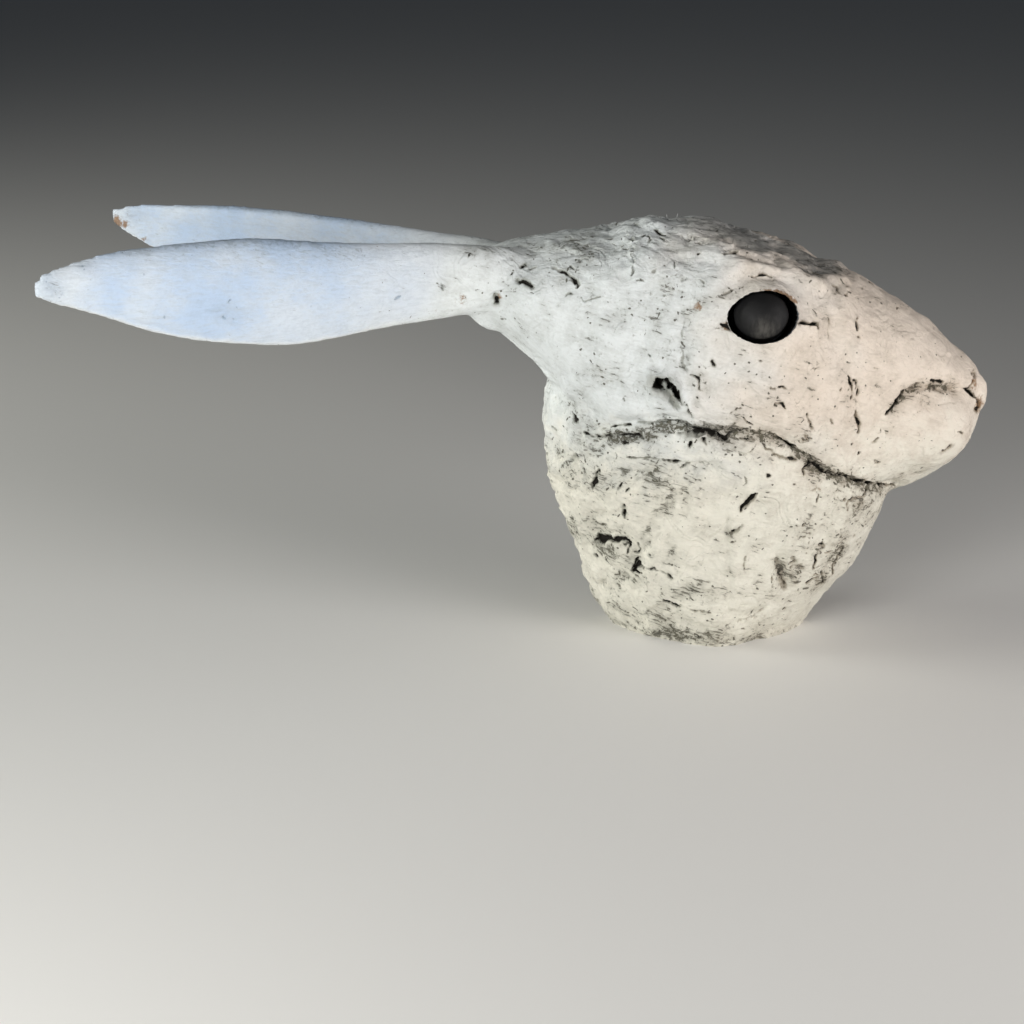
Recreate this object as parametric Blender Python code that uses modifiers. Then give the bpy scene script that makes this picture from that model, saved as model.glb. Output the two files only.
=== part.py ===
"""A hand-built ceramic rabbit's head on its neck, with long ears laid back and ball eyes set behind lids.

Metres, +Z up. The origin is the middle of the flat underside, the nose points along +X and the
rabbit's right side faces -Y. The head, neck and ears are free forms: their tables give shares, in
hundredths, of the driving sizes below. The eyes, sockets, lids and cuts are worked out from their
own sizes. The head, neck and ears are one piece of clay, and each eye is a ball of its own.
"""

import math

import bmesh
import bpy
import numpy as np
from mathutils import Matrix, Vector

# Head: length from nape to nose, height from jaw to crown, and where it sits over the neck
HEAD_LENGTH = 0.300
HEAD_HEIGHT = 0.160
HEAD_WIDTH = 0.124
JAW_HEIGHT = 0.085
HEAD_SETBACK = 0.148

# Neck, whose flat underside is what the piece stands on
NECK_HEIGHT = 0.165
BASE_LENGTH = 0.116
BASE_WIDTH = 0.080

# Ears, which run back from the crown and apart. Their roots lie at shares of the head's length and height
EAR_ROOT_ALONG = 3
EAR_ROOT_UP = 81
EAR_LENGTH = 0.242
EAR_BREADTH = 0.060
EAR_THICKNESS = 0.019
EAR_ROOT_SPREAD = 0.058
EAR_TIP_SPREAD = 0.198
LEFT_EAR_DROP = 0.009

# Eyes: balls in round sockets, seen through a cut between two lids. Their middles lie at shares of the
# head's length and height
EYE_ALONG = 56.3
EYE_UP = 71.4
EYE_DIAMETER = 0.0350
EYE_SPREAD = 0.092
EYE_LIFT = math.radians(12)
SOCKET_GAP = 0.0003
LID_THICKNESS = 0.0036
LID_OPENING_LENGTH = 0.0385
LID_OPENING_HEIGHT = 0.0285
LID_CORNER_SHARPNESS = 1.75

# The torn pit behind the right cheek, its middle at shares of the head's length, half width and height
PIT_ALONG = 40.3
PIT_ASIDE = -98
PIT_UP = 47
PIT_LENGTH = 0.019
PIT_WIDTH = 0.009
PIT_DEPTH = 0.011
PIT_SLOPE = math.radians(47)

# Fineness of the clay and of what is cut in it
CLAY_VOXEL = 0.0018
SOFTENING_PASSES = 16
RING_POINTS = 32
LOFT_STEPS = 44
BALL_SEGMENTS = 24
PIT_SEGMENTS = 16
OPENING_POINTS = 28
BODY_TRIANGLES = 7500

# The skull, from nape to nose. Each row is the share of the head's length, the section's top, bottom and
# widest line as shares of the head's height, its half width as a share of half the head's width, and
# how square its upper and lower halves are (2 is an ellipse).
SKULL = (
    (3.5, 81, 75, 78, 8, 2.0, 2.0),
    (4.5, 84, 68.5, 77.5, 24, 2.0, 2.0),
    (6.5, 87, 62.5, 77, 43, 2.0, 2.0),
    (10, 89.5, 56.5, 75, 64, 2.1, 2.0),
    (16, 92, 47, 71, 79, 2.2, 2.1),
    (24, 95, 31, 64, 90, 2.3, 2.5),
    (33, 98.5, 18, 57, 96, 2.5, 2.8),
    (43, 99.5, 13, 54, 99, 2.6, 2.9),
    (53, 96.5, 12, 54, 100, 2.6, 2.9),
    (61, 90.5, 11, 53, 97, 2.5, 2.8),
    (69, 84, 7, 48, 86, 2.4, 2.6),
    (78, 76, 2, 41, 71, 2.3, 2.3),
    (84, 69, 1, 38, 60, 2.2, 2.1),
    (91, 59.5, 7, 37, 46, 2.1, 2.0),
    (96, 52, 14, 35, 33, 2.0, 2.0),
    (99, 46.5, 21, 34, 20, 2.0, 2.0),
)

# The neck, from under its foot to inside the skull. Each row is the share of its height, the middle of
# the section as a share of the base's length, its half length and half width as shares of half the
# base's, and how square it is (under 2 it has corners, as the base has at front, back and sides).
NECK = (
    (-5, 0, 94, 94, 1.4),
    (0, 0, 99, 99, 1.4),
    (7, -1, 112, 108, 1.5),
    (25, 4, 139, 122, 1.8),
    (44, 4.5, 161, 132, 2.1),
    (61, 3, 170, 140, 2.4),
    (76, 2, 172, 142, 2.5),
    (88, 0, 166, 136, 2.5),
    (100, -2, 154, 118, 2.3),
)

# An ear, from inside the skull to the tip. Each row is the share of its length, how far the middle of
# the blade lies over the root as a share of the breadth, and the half breadth and half thickness there
# as shares of half the largest.
RIGHT_EAR = (
    (-14, -4, 58, 165),
    (0, 0, 66, 135),
    (10, 0, 75, 112),
    (20, -1, 82, 103),
    (30, -2.5, 92, 100),
    (40, -2, 100, 98),
    (50, 0.5, 101, 95),
    (60, 3, 95, 90),
    (70, 7, 84, 82),
    (80, 13, 66, 70),
    (88, 15, 47, 58),
    (94, 15, 30, 45),
    (97, 15, 16, 34),
)
LEFT_EAR = (
    (-14, -4, 58, 165),
    (0, 0, 66, 135),
    (10, -1, 75, 112),
    (20, -1, 82, 103),
    (30, -1, 89, 100),
    (40, -1.5, 95, 98),
    (50, 0, 96, 95),
    (60, 4, 90, 90),
    (70, 9, 79, 82),
    (80, 15, 63, 72),
    (88, 21, 46, 62),
    (94, 25, 33, 50),
    (99, 28, 19, 40),
)

# The scoop in an ear's inner face: its depth as a share of the half thickness, and the share of the length
# over which it starts
EAR_SCOOP = 115
EAR_SCOOP_START = 30

# Lumps of clay laid on both sides of the skull, which are the whisker pad, the nose's side, the brow and the
# clay under the ear's root. Each row is the place along, aside and up, then the half sizes the same way,
# as shares of the head's length, half width and height, and the rise towards the nose in degrees
LUMPS = (
    (88.4, 25, 26.5, 10, 32, 16, 27),
    (98.6, 7, 37.5, 2.1, 12, 7.4, 8),
    (55, 50, 86, 15, 24, 7, -16),
    (6.8, 37, 70.5, 5.2, 15, 8, -35),
)

# The cleft from under the nose to the chin: its ends up the head's height, the share of the head's length
# where it starts, and its half width and depth, as shares of the head's height
CLEFT_TOP = 31
CLEFT_FOOT = 9
CLEFT_START = 90
CLEFT_WIDTH = 2.4
CLEFT_DEPTH = 3.2

# Creases pressed in the clay, as (share of the head's length, share of its height) along each line, then
# the half width and depth as shares of the head's height, and whether the left side has it too
JAW_FOLD = (
    (24, 29), (31, 33.5), (36, 36), (42, 37), (52, 34.5),
    (60, 31), (66, 23), (72, 16), (78, 10.5), (84, 5),
)
MOUTH = ((77, 25), (80, 36.4), (83.4, 44.4), (87, 46), (91.5, 45), (95.5, 41.5), (100, 35))
MUZZLE_GROOVE = ((68.7, 66), (71.5, 56), (73.2, 46), (75, 33))
CHEEK_REAR = ((41.8, 72), (41.7, 60), (42.8, 53), (45.5, 48))
LID_CREASE = ((50, 82.5), (53, 85.5), (57, 85.8), (61, 81.5), (63.5, 75))
NECK_POCKET = ((28, -11.5), (32, -11.5), (35, -16), (35, -22))
FINGER_PRESSES = ((61.5, -15), (62.6, -28))
CREASES = (
    (JAW_FOLD, 2.2, 2.5, True),
    (MOUTH, 1.7, 1.7, True),
    (MUZZLE_GROOVE, 2.6, 0.9, True),
    (CHEEK_REAR, 2.6, 0.8, True),
    (LID_CREASE, 1.8, 1.5, True),
    (NECK_POCKET, 2.6, 2.6, False),
    (FINGER_PRESSES, 2.4, 1.8, False),
)


def share(value, size):
    """A share in hundredths of a size."""
    return value / 100 * size


def head_point(along, aside, up):
    """A point given as shares of the head's length, half width and height."""
    return Vector((
        share(along, HEAD_LENGTH) - HEAD_SETBACK,
        share(aside, HEAD_WIDTH / 2),
        JAW_HEIGHT + share(up, HEAD_HEIGHT),
    ))


def spline_row(table, position):
    """The table's row at a position along its first column, on a smooth curve through its rows."""
    rows = np.array(table, float)
    last = len(rows) - 1
    at = int(np.clip(np.searchsorted(rows[:, 0], position) - 1, 0, last - 1))
    before, start, end, after = (rows[min(max(at + step, 0), last)] for step in (-1, 0, 1, 2))
    span = end[0] - start[0]
    t = (position - start[0]) / span
    leaving = (end - before) / (end[0] - before[0]) * span
    arriving = (after - start) / (after[0] - start[0]) * span
    return (
        (2 * t**3 - 3 * t**2 + 1) * start
        + (t**3 - 2 * t**2 + t) * leaving
        + (3 * t**2 - 2 * t**3) * end
        + (t**3 - t**2) * arriving
    )


def signed_power(value, exponent):
    """A power that keeps its sign, which squares off a cosine or a sine."""
    return math.copysign(abs(value) ** exponent, value)


def turn(count):
    """Evenly spaced angles of one turn."""
    return [2 * math.pi * i / count for i in range(count)]


def clay_material(name, colour, roughness):
    made = bpy.data.materials.new(name)
    made.use_nodes = True
    shader = made.node_tree.nodes["Principled BSDF"]
    shader.inputs["Base Color"].default_value = (*colour, 1.0)
    shader.inputs["Roughness"].default_value = roughness
    shader.inputs["Metallic"].default_value = 0.0
    made.diffuse_color = (*colour, 1.0)
    return made


def new_collection(name, hidden=False):
    made = bpy.data.collections.new(name)
    made.hide_render = hidden
    bpy.context.scene.collection.children.link(made)
    return made


def object_of(name, shape, into):
    """An object that holds the bmesh, which is freed."""
    bmesh.ops.recalc_face_normals(shape, faces=shape.faces)
    mesh = bpy.data.meshes.new(name)
    shape.to_mesh(mesh)
    shape.free()
    made = bpy.data.objects.new(name, mesh)
    into.objects.link(made)
    return made


def skull_point(row, angle):
    along, top, bottom, widest, half, upper, lower = row
    above = math.sin(angle) > 0
    power = 2 / (upper if above else lower)
    reach = top - widest if above else widest - bottom
    return head_point(
        along,
        half * signed_power(math.cos(angle), power),
        widest + reach * signed_power(math.sin(angle), power),
    )


def neck_point(row, angle):
    height, middle, half_length, half_width, square = row
    return Vector((
        share(middle, BASE_LENGTH)
        + share(half_length, BASE_LENGTH / 2) * signed_power(math.cos(angle), 2 / square),
        share(half_width, BASE_WIDTH / 2) * signed_power(math.sin(angle), 2 / square),
        share(height, NECK_HEIGHT),
    ))


def ear_axes(side):
    """Root of one ear, the way to its tip and the way its outer face looks. Side is -1 for the right ear."""
    root = head_point(EAR_ROOT_ALONG, 0, EAR_ROOT_UP)
    root.y = side * EAR_ROOT_SPREAD / 2
    root.z -= LEFT_EAR_DROP if side > 0 else 0
    outward = (EAR_TIP_SPREAD - EAR_ROOT_SPREAD) / 2
    along = Vector((-math.sqrt(EAR_LENGTH**2 - outward**2), side * outward, 0)).normalized()
    outer = Vector((side * along.y, -side * along.x, 0))
    return root, along, outer


def ear_point(row, angle, side):
    """A point of the ear's section: its outer face swells and its inner face is scooped between its rims."""
    distance, rise, half_breadth, half_thickness = row
    root, along, outer = ear_axes(side)
    across, through = math.sin(angle), math.cos(angle)
    scooped = min(max(distance / EAR_SCOOP_START, 0), 1) * max(-through, 0) ** 3
    return (
        root
        + along * share(distance, EAR_LENGTH)
        + Vector((0, 0, share(rise, EAR_BREADTH) + share(half_breadth, EAR_BREADTH / 2) * across))
        + outer * share(half_thickness, EAR_THICKNESS / 2) * (through + share(EAR_SCOOP, scooped))
    )


def loft(shape, table, point, *more):
    """Skins the sections that a table gives, and closes both ends."""
    stations = np.linspace(table[0][0], table[-1][0], LOFT_STEPS)
    rings = [
        [shape.verts.new(point(spline_row(table, station), angle, *more)) for angle in turn(RING_POINTS)]
        for station in stations
    ]
    edges = []
    for ring in rings:
        edges += [shape.edges.new((a, b)) for a, b in zip(ring, ring[1:] + ring[:1])]
    for start in range(0, len(edges) - RING_POINTS, RING_POINTS):
        bmesh.ops.bridge_loops(shape, edges=edges[start : start + 2 * RING_POINTS])
    for ring in (rings[0], rings[-1]):
        shape.faces.new(ring)


def add_ball(shape, matrix, radius=1.0, segments=BALL_SEGMENTS):
    bmesh.ops.create_uvsphere(
        shape, u_segments=segments, v_segments=segments // 2, radius=radius, matrix=matrix
    )


def eye_centre(side):
    centre = head_point(EYE_ALONG, 0, EYE_UP)
    centre.y = side * EYE_SPREAD / 2
    return centre


def eye_matrix(side):
    """The eye's place, with its Z axis out between the lids, a little upwards, and its X axis forward."""
    out = Vector((0, side * math.cos(EYE_LIFT), math.sin(EYE_LIFT)))
    forward = Vector((1, 0, 0))
    axes = Matrix((forward, out.cross(forward), out)).transposed().to_4x4()
    return Matrix.Translation(eye_centre(side)) @ axes


def add_lumps(shape, side):
    for along, aside, up, half_length, half_width, half_height, rise in LUMPS:
        size = Matrix.Diagonal((
            share(half_length, HEAD_LENGTH),
            share(half_width, HEAD_WIDTH / 2),
            share(half_height, HEAD_HEIGHT),
            1,
        ))
        tilt = Matrix.Rotation(-math.radians(rise), 4, "Y")
        add_ball(shape, Matrix.Translation(head_point(along, side * aside, up)) @ tilt @ size)
    add_ball(shape, eye_matrix(side), EYE_DIAMETER / 2 + SOCKET_GAP + LID_THICKNESS)


def modelled_clay(helpers):
    """The fused and softened mass of skull, neck, ears and lumps."""
    shape = bmesh.new()
    loft(shape, SKULL, skull_point)
    loft(shape, NECK, neck_point)
    loft(shape, RIGHT_EAR, ear_point, -1)
    loft(shape, LEFT_EAR, ear_point, 1)
    for side in (-1, 1):
        add_lumps(shape, side)
    mass = object_of("clay_mass", shape, helpers)
    fuse = mass.modifiers.new("Fuse", "REMESH")
    fuse.mode = "VOXEL"
    fuse.voxel_size = CLAY_VOXEL
    soften = mass.modifiers.new("Soften", "SMOOTH")
    soften.factor = 0.5
    soften.iterations = SOFTENING_PASSES
    evaluated = mass.evaluated_get(bpy.context.evaluated_depsgraph_get())
    mesh = bpy.data.meshes.new_from_object(evaluated)
    bpy.data.objects.remove(mass)
    return mesh


def distance_to_line(points, line):
    """How far each point lies from an open line, both in the plane of length and height."""
    nearest = np.full(len(points), np.inf)
    for start, end in zip(line, line[1:]):
        way = end - start
        t = np.clip((points - start) @ way / (way @ way), 0, 1)
        nearest = np.minimum(nearest, np.linalg.norm(points - start - t[:, None] * way, axis=1))
    return nearest


def ramp(values, start, end):
    """Nought before the start, one past the end, and a straight rise between them."""
    return np.clip((values - start) / (end - start), 0, 1)


def cleft_depth(places):
    """How deep the lip's cleft is pressed at each point."""
    top, foot, start = (head_point(CLEFT_START, 0, up) for up in (CLEFT_TOP, CLEFT_FOOT, 0))
    width = share(CLEFT_WIDTH, HEAD_HEIGHT)
    along = ramp(places[:, 0], start.x, start.x + 2 * width)
    up = ramp(places[:, 2], foot.z, foot.z + 2 * width) * ramp(-places[:, 2], -top.z, width - top.z)
    return share(CLEFT_DEPTH, HEAD_HEIGHT) * along * up * np.exp(-((places[:, 1] / width) ** 2))


def press_creases(mesh):
    """Pushes the clay in along each crease, on the right side or on both, and at the cleft."""
    count = len(mesh.vertices)
    places = np.empty(count * 3)
    normals = np.empty(count * 3)
    mesh.vertices.foreach_get("co", places)
    mesh.vertices.foreach_get("normal", normals)
    places = places.reshape(-1, 3)
    normals = normals.reshape(-1, 3)
    pressed = cleft_depth(places)
    for points, half_width, depth, both in CREASES:
        line = np.array([head_point(along, 0, up).xz for along, up in points])
        away = distance_to_line(places[:, ::2], line) / share(half_width, HEAD_HEIGHT)
        facing = np.clip(np.abs(normals[:, 1]) * 2, 0, 1)
        if not both:
            facing[places[:, 1] > 0] = 0
        pressed = np.maximum(pressed, share(depth, HEAD_HEIGHT) * facing * np.exp(-(away**2)))
    places -= normals * pressed[:, None]
    mesh.vertices.foreach_set("co", places.reshape(-1))
    mesh.update()


def cut(body, cutter):
    cutter.display_type = "WIRE"
    cutter.hide_render = True
    made = body.modifiers.new(cutter.name, "BOOLEAN")
    made.operation = "DIFFERENCE"
    made.solver = "EXACT"
    made.object = cutter


def table_cutter(cutters):
    """What lies under the flat underside."""
    size = HEAD_LENGTH
    shape = bmesh.new()
    bmesh.ops.create_cube(shape, size=size, matrix=Matrix.Translation((0, 0, -size / 2)))
    return object_of("underside_cutter", shape, cutters)


def socket_cutter(cutters, side, name):
    shape = bmesh.new()
    add_ball(shape, eye_matrix(side), EYE_DIAMETER / 2 + SOCKET_GAP)
    return object_of(name, shape, cutters)


def opening_cutter(cutters, side, name):
    """The almond cut between the lids, from just behind the ball's middle outwards."""
    power = 2 / LID_CORNER_SHARPNESS
    shape = bmesh.new()
    ring = [
        shape.verts.new((
            LID_OPENING_LENGTH / 2 * signed_power(math.cos(angle), power),
            LID_OPENING_HEIGHT / 2 * signed_power(math.sin(angle), power),
            -LID_THICKNESS,
        ))
        for angle in turn(OPENING_POINTS)
    ]
    floor = shape.faces.new(ring)
    walls = bmesh.ops.extrude_face_region(shape, geom=[floor])
    raised = [item for item in walls["geom"] if isinstance(item, bmesh.types.BMVert)]
    bmesh.ops.translate(shape, verts=raised, vec=(0, 0, EYE_DIAMETER + LID_THICKNESS))
    bmesh.ops.transform(shape, verts=shape.verts, matrix=eye_matrix(side))
    return object_of(name, shape, cutters)


def pit_cutter(cutters):
    """The hollow left where the clay tore behind the right cheek."""
    size = Matrix.Diagonal((PIT_LENGTH / 2, PIT_DEPTH, PIT_WIDTH / 2, 1))
    slope = Matrix.Rotation(PIT_SLOPE, 4, "Y")
    shape = bmesh.new()
    place = Matrix.Translation(head_point(PIT_ALONG, PIT_ASIDE, PIT_UP))
    add_ball(shape, place @ slope @ size, 1.0, PIT_SEGMENTS)
    return object_of("pit_cutter", shape, cutters)


def make_head(parts, cutters):
    mesh = modelled_clay(cutters)
    press_creases(mesh)
    mesh.shade_smooth()
    mesh.name = "rabbit_head"
    head = bpy.data.objects.new("rabbit_head", mesh)
    parts.objects.link(head)
    mesh.materials.clear()
    mesh.materials.append(clay_material("White slip over stoneware", (0.75, 0.74, 0.70), 0.85))
    mesh.calc_loop_triangles()
    facets = head.modifiers.new("Facets", "DECIMATE")
    facets.ratio = BODY_TRIANGLES / len(mesh.loop_triangles)
    cut(head, table_cutter(cutters))
    cut(head, pit_cutter(cutters))
    for side, name in ((-1, "right"), (1, "left")):
        cut(head, socket_cutter(cutters, side, name + "_socket_cutter"))
        cut(head, opening_cutter(cutters, side, name + "_opening_cutter"))


def make_eye(parts, side, name, material):
    shape = bmesh.new()
    add_ball(shape, Matrix.Identity(4), EYE_DIAMETER / 2)
    eye = object_of(name, shape, parts)
    eye.matrix_world = eye_matrix(side)
    eye.data.shade_smooth()
    eye.data.materials.append(material)


def main():
    for old in list(bpy.data.objects):
        bpy.data.objects.remove(old)
    parts = new_collection("Ceramic rabbit sculpture")
    cutters = new_collection("Cutters", hidden=True)
    make_head(parts, cutters)
    charcoal = clay_material("Charcoal clay", (0.035, 0.035, 0.038), 0.5)
    make_eye(parts, -1, "right_eye", charcoal)
    make_eye(parts, 1, "left_eye", charcoal)


main()
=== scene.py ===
"""Looks of a hand-built ceramic rabbit's head: slipped and stained clay, charcoal eyes and the stage.

Laid out as an add-on and run as a script. Metres, +Z up, the nose points along +X and the rabbit's
right side faces -Y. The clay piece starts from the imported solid, is remeshed finely, and then lumps,
folds, slits and torn places are pressed into it. Marks are given in millimetres.
"""

import itertools
import math
import random
from functools import partial

import bmesh
import bpy
import numpy as np
from bpy.props import FloatProperty, FloatVectorProperty, IntProperty, PointerProperty
from mathutils import Euler, Matrix, Vector, noise
from mathutils.bvhtree import BVHTree


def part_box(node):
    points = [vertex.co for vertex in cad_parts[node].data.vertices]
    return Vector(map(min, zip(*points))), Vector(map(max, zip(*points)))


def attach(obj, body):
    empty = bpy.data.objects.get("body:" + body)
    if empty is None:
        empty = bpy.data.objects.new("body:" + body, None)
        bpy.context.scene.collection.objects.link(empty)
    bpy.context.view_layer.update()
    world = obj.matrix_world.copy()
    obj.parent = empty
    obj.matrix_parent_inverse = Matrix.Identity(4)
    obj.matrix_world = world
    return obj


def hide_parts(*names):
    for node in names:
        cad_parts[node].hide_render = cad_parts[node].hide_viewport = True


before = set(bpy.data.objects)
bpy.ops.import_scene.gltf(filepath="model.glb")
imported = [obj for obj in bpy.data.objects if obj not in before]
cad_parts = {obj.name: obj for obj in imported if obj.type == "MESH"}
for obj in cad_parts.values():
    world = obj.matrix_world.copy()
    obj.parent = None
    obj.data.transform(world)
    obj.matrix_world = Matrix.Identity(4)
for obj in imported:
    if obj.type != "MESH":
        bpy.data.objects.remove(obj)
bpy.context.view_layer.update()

bl_info = {
    "name": "Ceramic rabbit's head",
    "version": (1, 0, 0),
    "blender": (4, 5, 0),
    "location": "3D View > Sidebar > Rabbit",
    "description": "Models the clay, the eyes and the stage of a hand-built ceramic rabbit's head",
    "category": "Object",
}

MM = 0.001
RIGHT, LEFT = -1, 1
EYES = {"right_eye": RIGHT, "left_eye": LEFT}
EYE_BOXES = {name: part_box(name) for name in EYES}

# A place outside the clay to look at it from, and how near points are that are taken for one
FAR = 0.4
TOUCHING = 0.01 * MM

# Eyes: the lids' outer surface over the ball, the gap round the ball, and the cut between the lids. Its edge
# is ragged by waves, each given by how many there are to a radius and its share of the radius
LID_THICKNESS = 3.6 * MM
SOCKET_GAP = 0.3 * MM
LID_TILT = math.radians(12)
OPENING_LENGTH = 39.0 * MM
OPENING_HEIGHT = 28.5 * MM
OPENING_SHARPNESS = 1.9
OPENING_TURN = math.radians(4)
OPENING_POINTS = 132
OPENING_RAGS = ((3, 0.025), (11, 0.03), (31, 0.014))
EYE_SEGMENTS = 96
SOCKET_SEGMENTS = 64
FILLING_SEGMENTS = 48

# The burnished disc that shows between the lids: its half length and half height, how far its middle lies
# back and up from the ball's, and how deep the ball is pared away round it, where it is also painted near
# black as shade
DISC_HALF_LENGTH = 15.3 * MM
DISC_HALF_HEIGHT = 13.2 * MM
DISC_MIDDLE = (-1.0 * MM, 0.9 * MM)
DISC_STEP = 2.6 * MM
BALL_LUMP_SIZE, BALL_LUMP = 9 * MM, 0.12 * MM

# Slip dust on the balls: which way it lies from straight out, and how wide it spreads
DUST_WAY = Vector((0.05, 0, -0.42))
DUST_SPREAD = math.radians(40)

# Round the cut between the lids: the wall below the lids' surface, stained and darkened with painted shade,
# how far its tan rim reaches above that surface, where the rim lies and fades and where the wall fades, both
# by the cut's half width, where the upper lid starts over the eye's middle, and where its front part starts
# along X
LID_WALL = (-1.6 * MM, -0.5 * MM)
LID_RIM_REACH = 5 * MM
LID_RIM, LID_RIM_FADE = 1.03, (0.05, 0.12)
LID_WALL_FADE = (1.06, 1.12)
UPPER_LID = (6 * MM, 11 * MM)
LID_FRONT = (-3 * MM, 4 * MM)

# Clay modelled below the foot, which is cut off flat again, and the angle where shading breaks
FOOT_LEVEL = 0.1 * MM
FOOT_SPARE = 8 * MM
SHARP_ANGLE = math.radians(62)

# Where one part passes into the next, from where it starts to where it is whole, in metres: the ears, their
# roots and the back of the head along -X, the muzzle along X, the neck along -Z, and the skull, the ear
# roots' underside and the crown along Z
EARS = (0.125, 0.16)
EAR_ROOTS = (0.06, 0.1)
BACK = (-0.03, 0.05)
MUZZLE = (0.075, 0.1)
NECK = (-0.13, -0.1)
SKULL = (0.165, 0.2)
UNDER_ROOTS = (0.16, 0.19)
CROWN = (0.2, 0.235)
TORN_CROWN = (0.205, 0.235)
LID_SURROUND = (3 * MM, 13 * MM)

# The torn nape along -X and -Z, the clay's upper faces by how their normals point up, the foot's rubbed edge
# along Z, and the painted shade on the upward-facing top of the ears along -X, where it starts and where it
# ends
NAPE, LOW_NAPE = (0.055, 0.085), (-0.165, -0.14)
FACING_UP = (0.5, 0.95)
FOOT_EDGE = (1 * MM, 8 * MM)
EAR_TOP, EAR_TOP_END = (0.17, 0.23), (0.31, 0.335)

# The ears' wash along -X, and where it thins out at their tips. The smoke on the top of the head, partly grey
# slip and partly painted shade on its upward-facing top: where it starts over the ridge, at the back along X
# and at the front along -X, and where it is thick along X
WASH, WASH_TIP = (0.14, 0.23), (0.335, 0.36)
SMOKE_EDGE = (-0.5 * MM, 2 * MM)
SMOKE_BACK, SMOKE_FRONT = (-0.08, -0.045), (-0.088, -0.06)
SMOKE_THICK = (-0.03, 0.02)

# Relief all over: how wide each kind is, and how high or deep where no setting says so
WARP_SIZE, WARP = 17 * MM, 9 * MM
LUMP_SIZE = 32 * MM
WIDE_DAB_SIZE, SMALL_DAB_SIZE = 19 * MM, 8 * MM
PLANE_SIZE, PLANE_DEPTH = 44 * MM, 1.0 * MM
NAPE_SIZE, NAPE_HEIGHT = 8 * MM, 1.5 * MM
LAYER_SIZE = 20 * MM
LAYER_LEVELS = (-0.5, -0.2, 0.1, 0.4)
WRINKLE_SIZE, WRINKLE_HEIGHT = 5 * MM, 0.32 * MM
CRUMB_SIZE, CRUMB_HEIGHT = 4.5 * MM, 0.5 * MM
TEAR_SIZE, TEAR_DEPTH = 11 * MM, 1.3 * MM
CLUMP_SIZE = 24 * MM

# Lines are laid on the clay in short steps, and shaken finely and broadly, so that marks come out torn
LINE_STEP = 3 * MM
SHAKE_SIZE, SHAKE = 2.2 * MM, 0.6 * MM
SWAY_SIZE, SWAY = 9 * MM, 1.0 * MM

# The torn pit behind the right cheek, which is filled with a ball before it is torn open more finely: its
# place, the ball's radius and how far that stands out, and two places on its rim from its middle
PIT_PLACE = (-28, 160)
PIT_FILL = 11.5 * MM
PIT_PROUD = 0.5 * MM
PIT_RIM = ((-15, 4), (15, -4))

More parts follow.
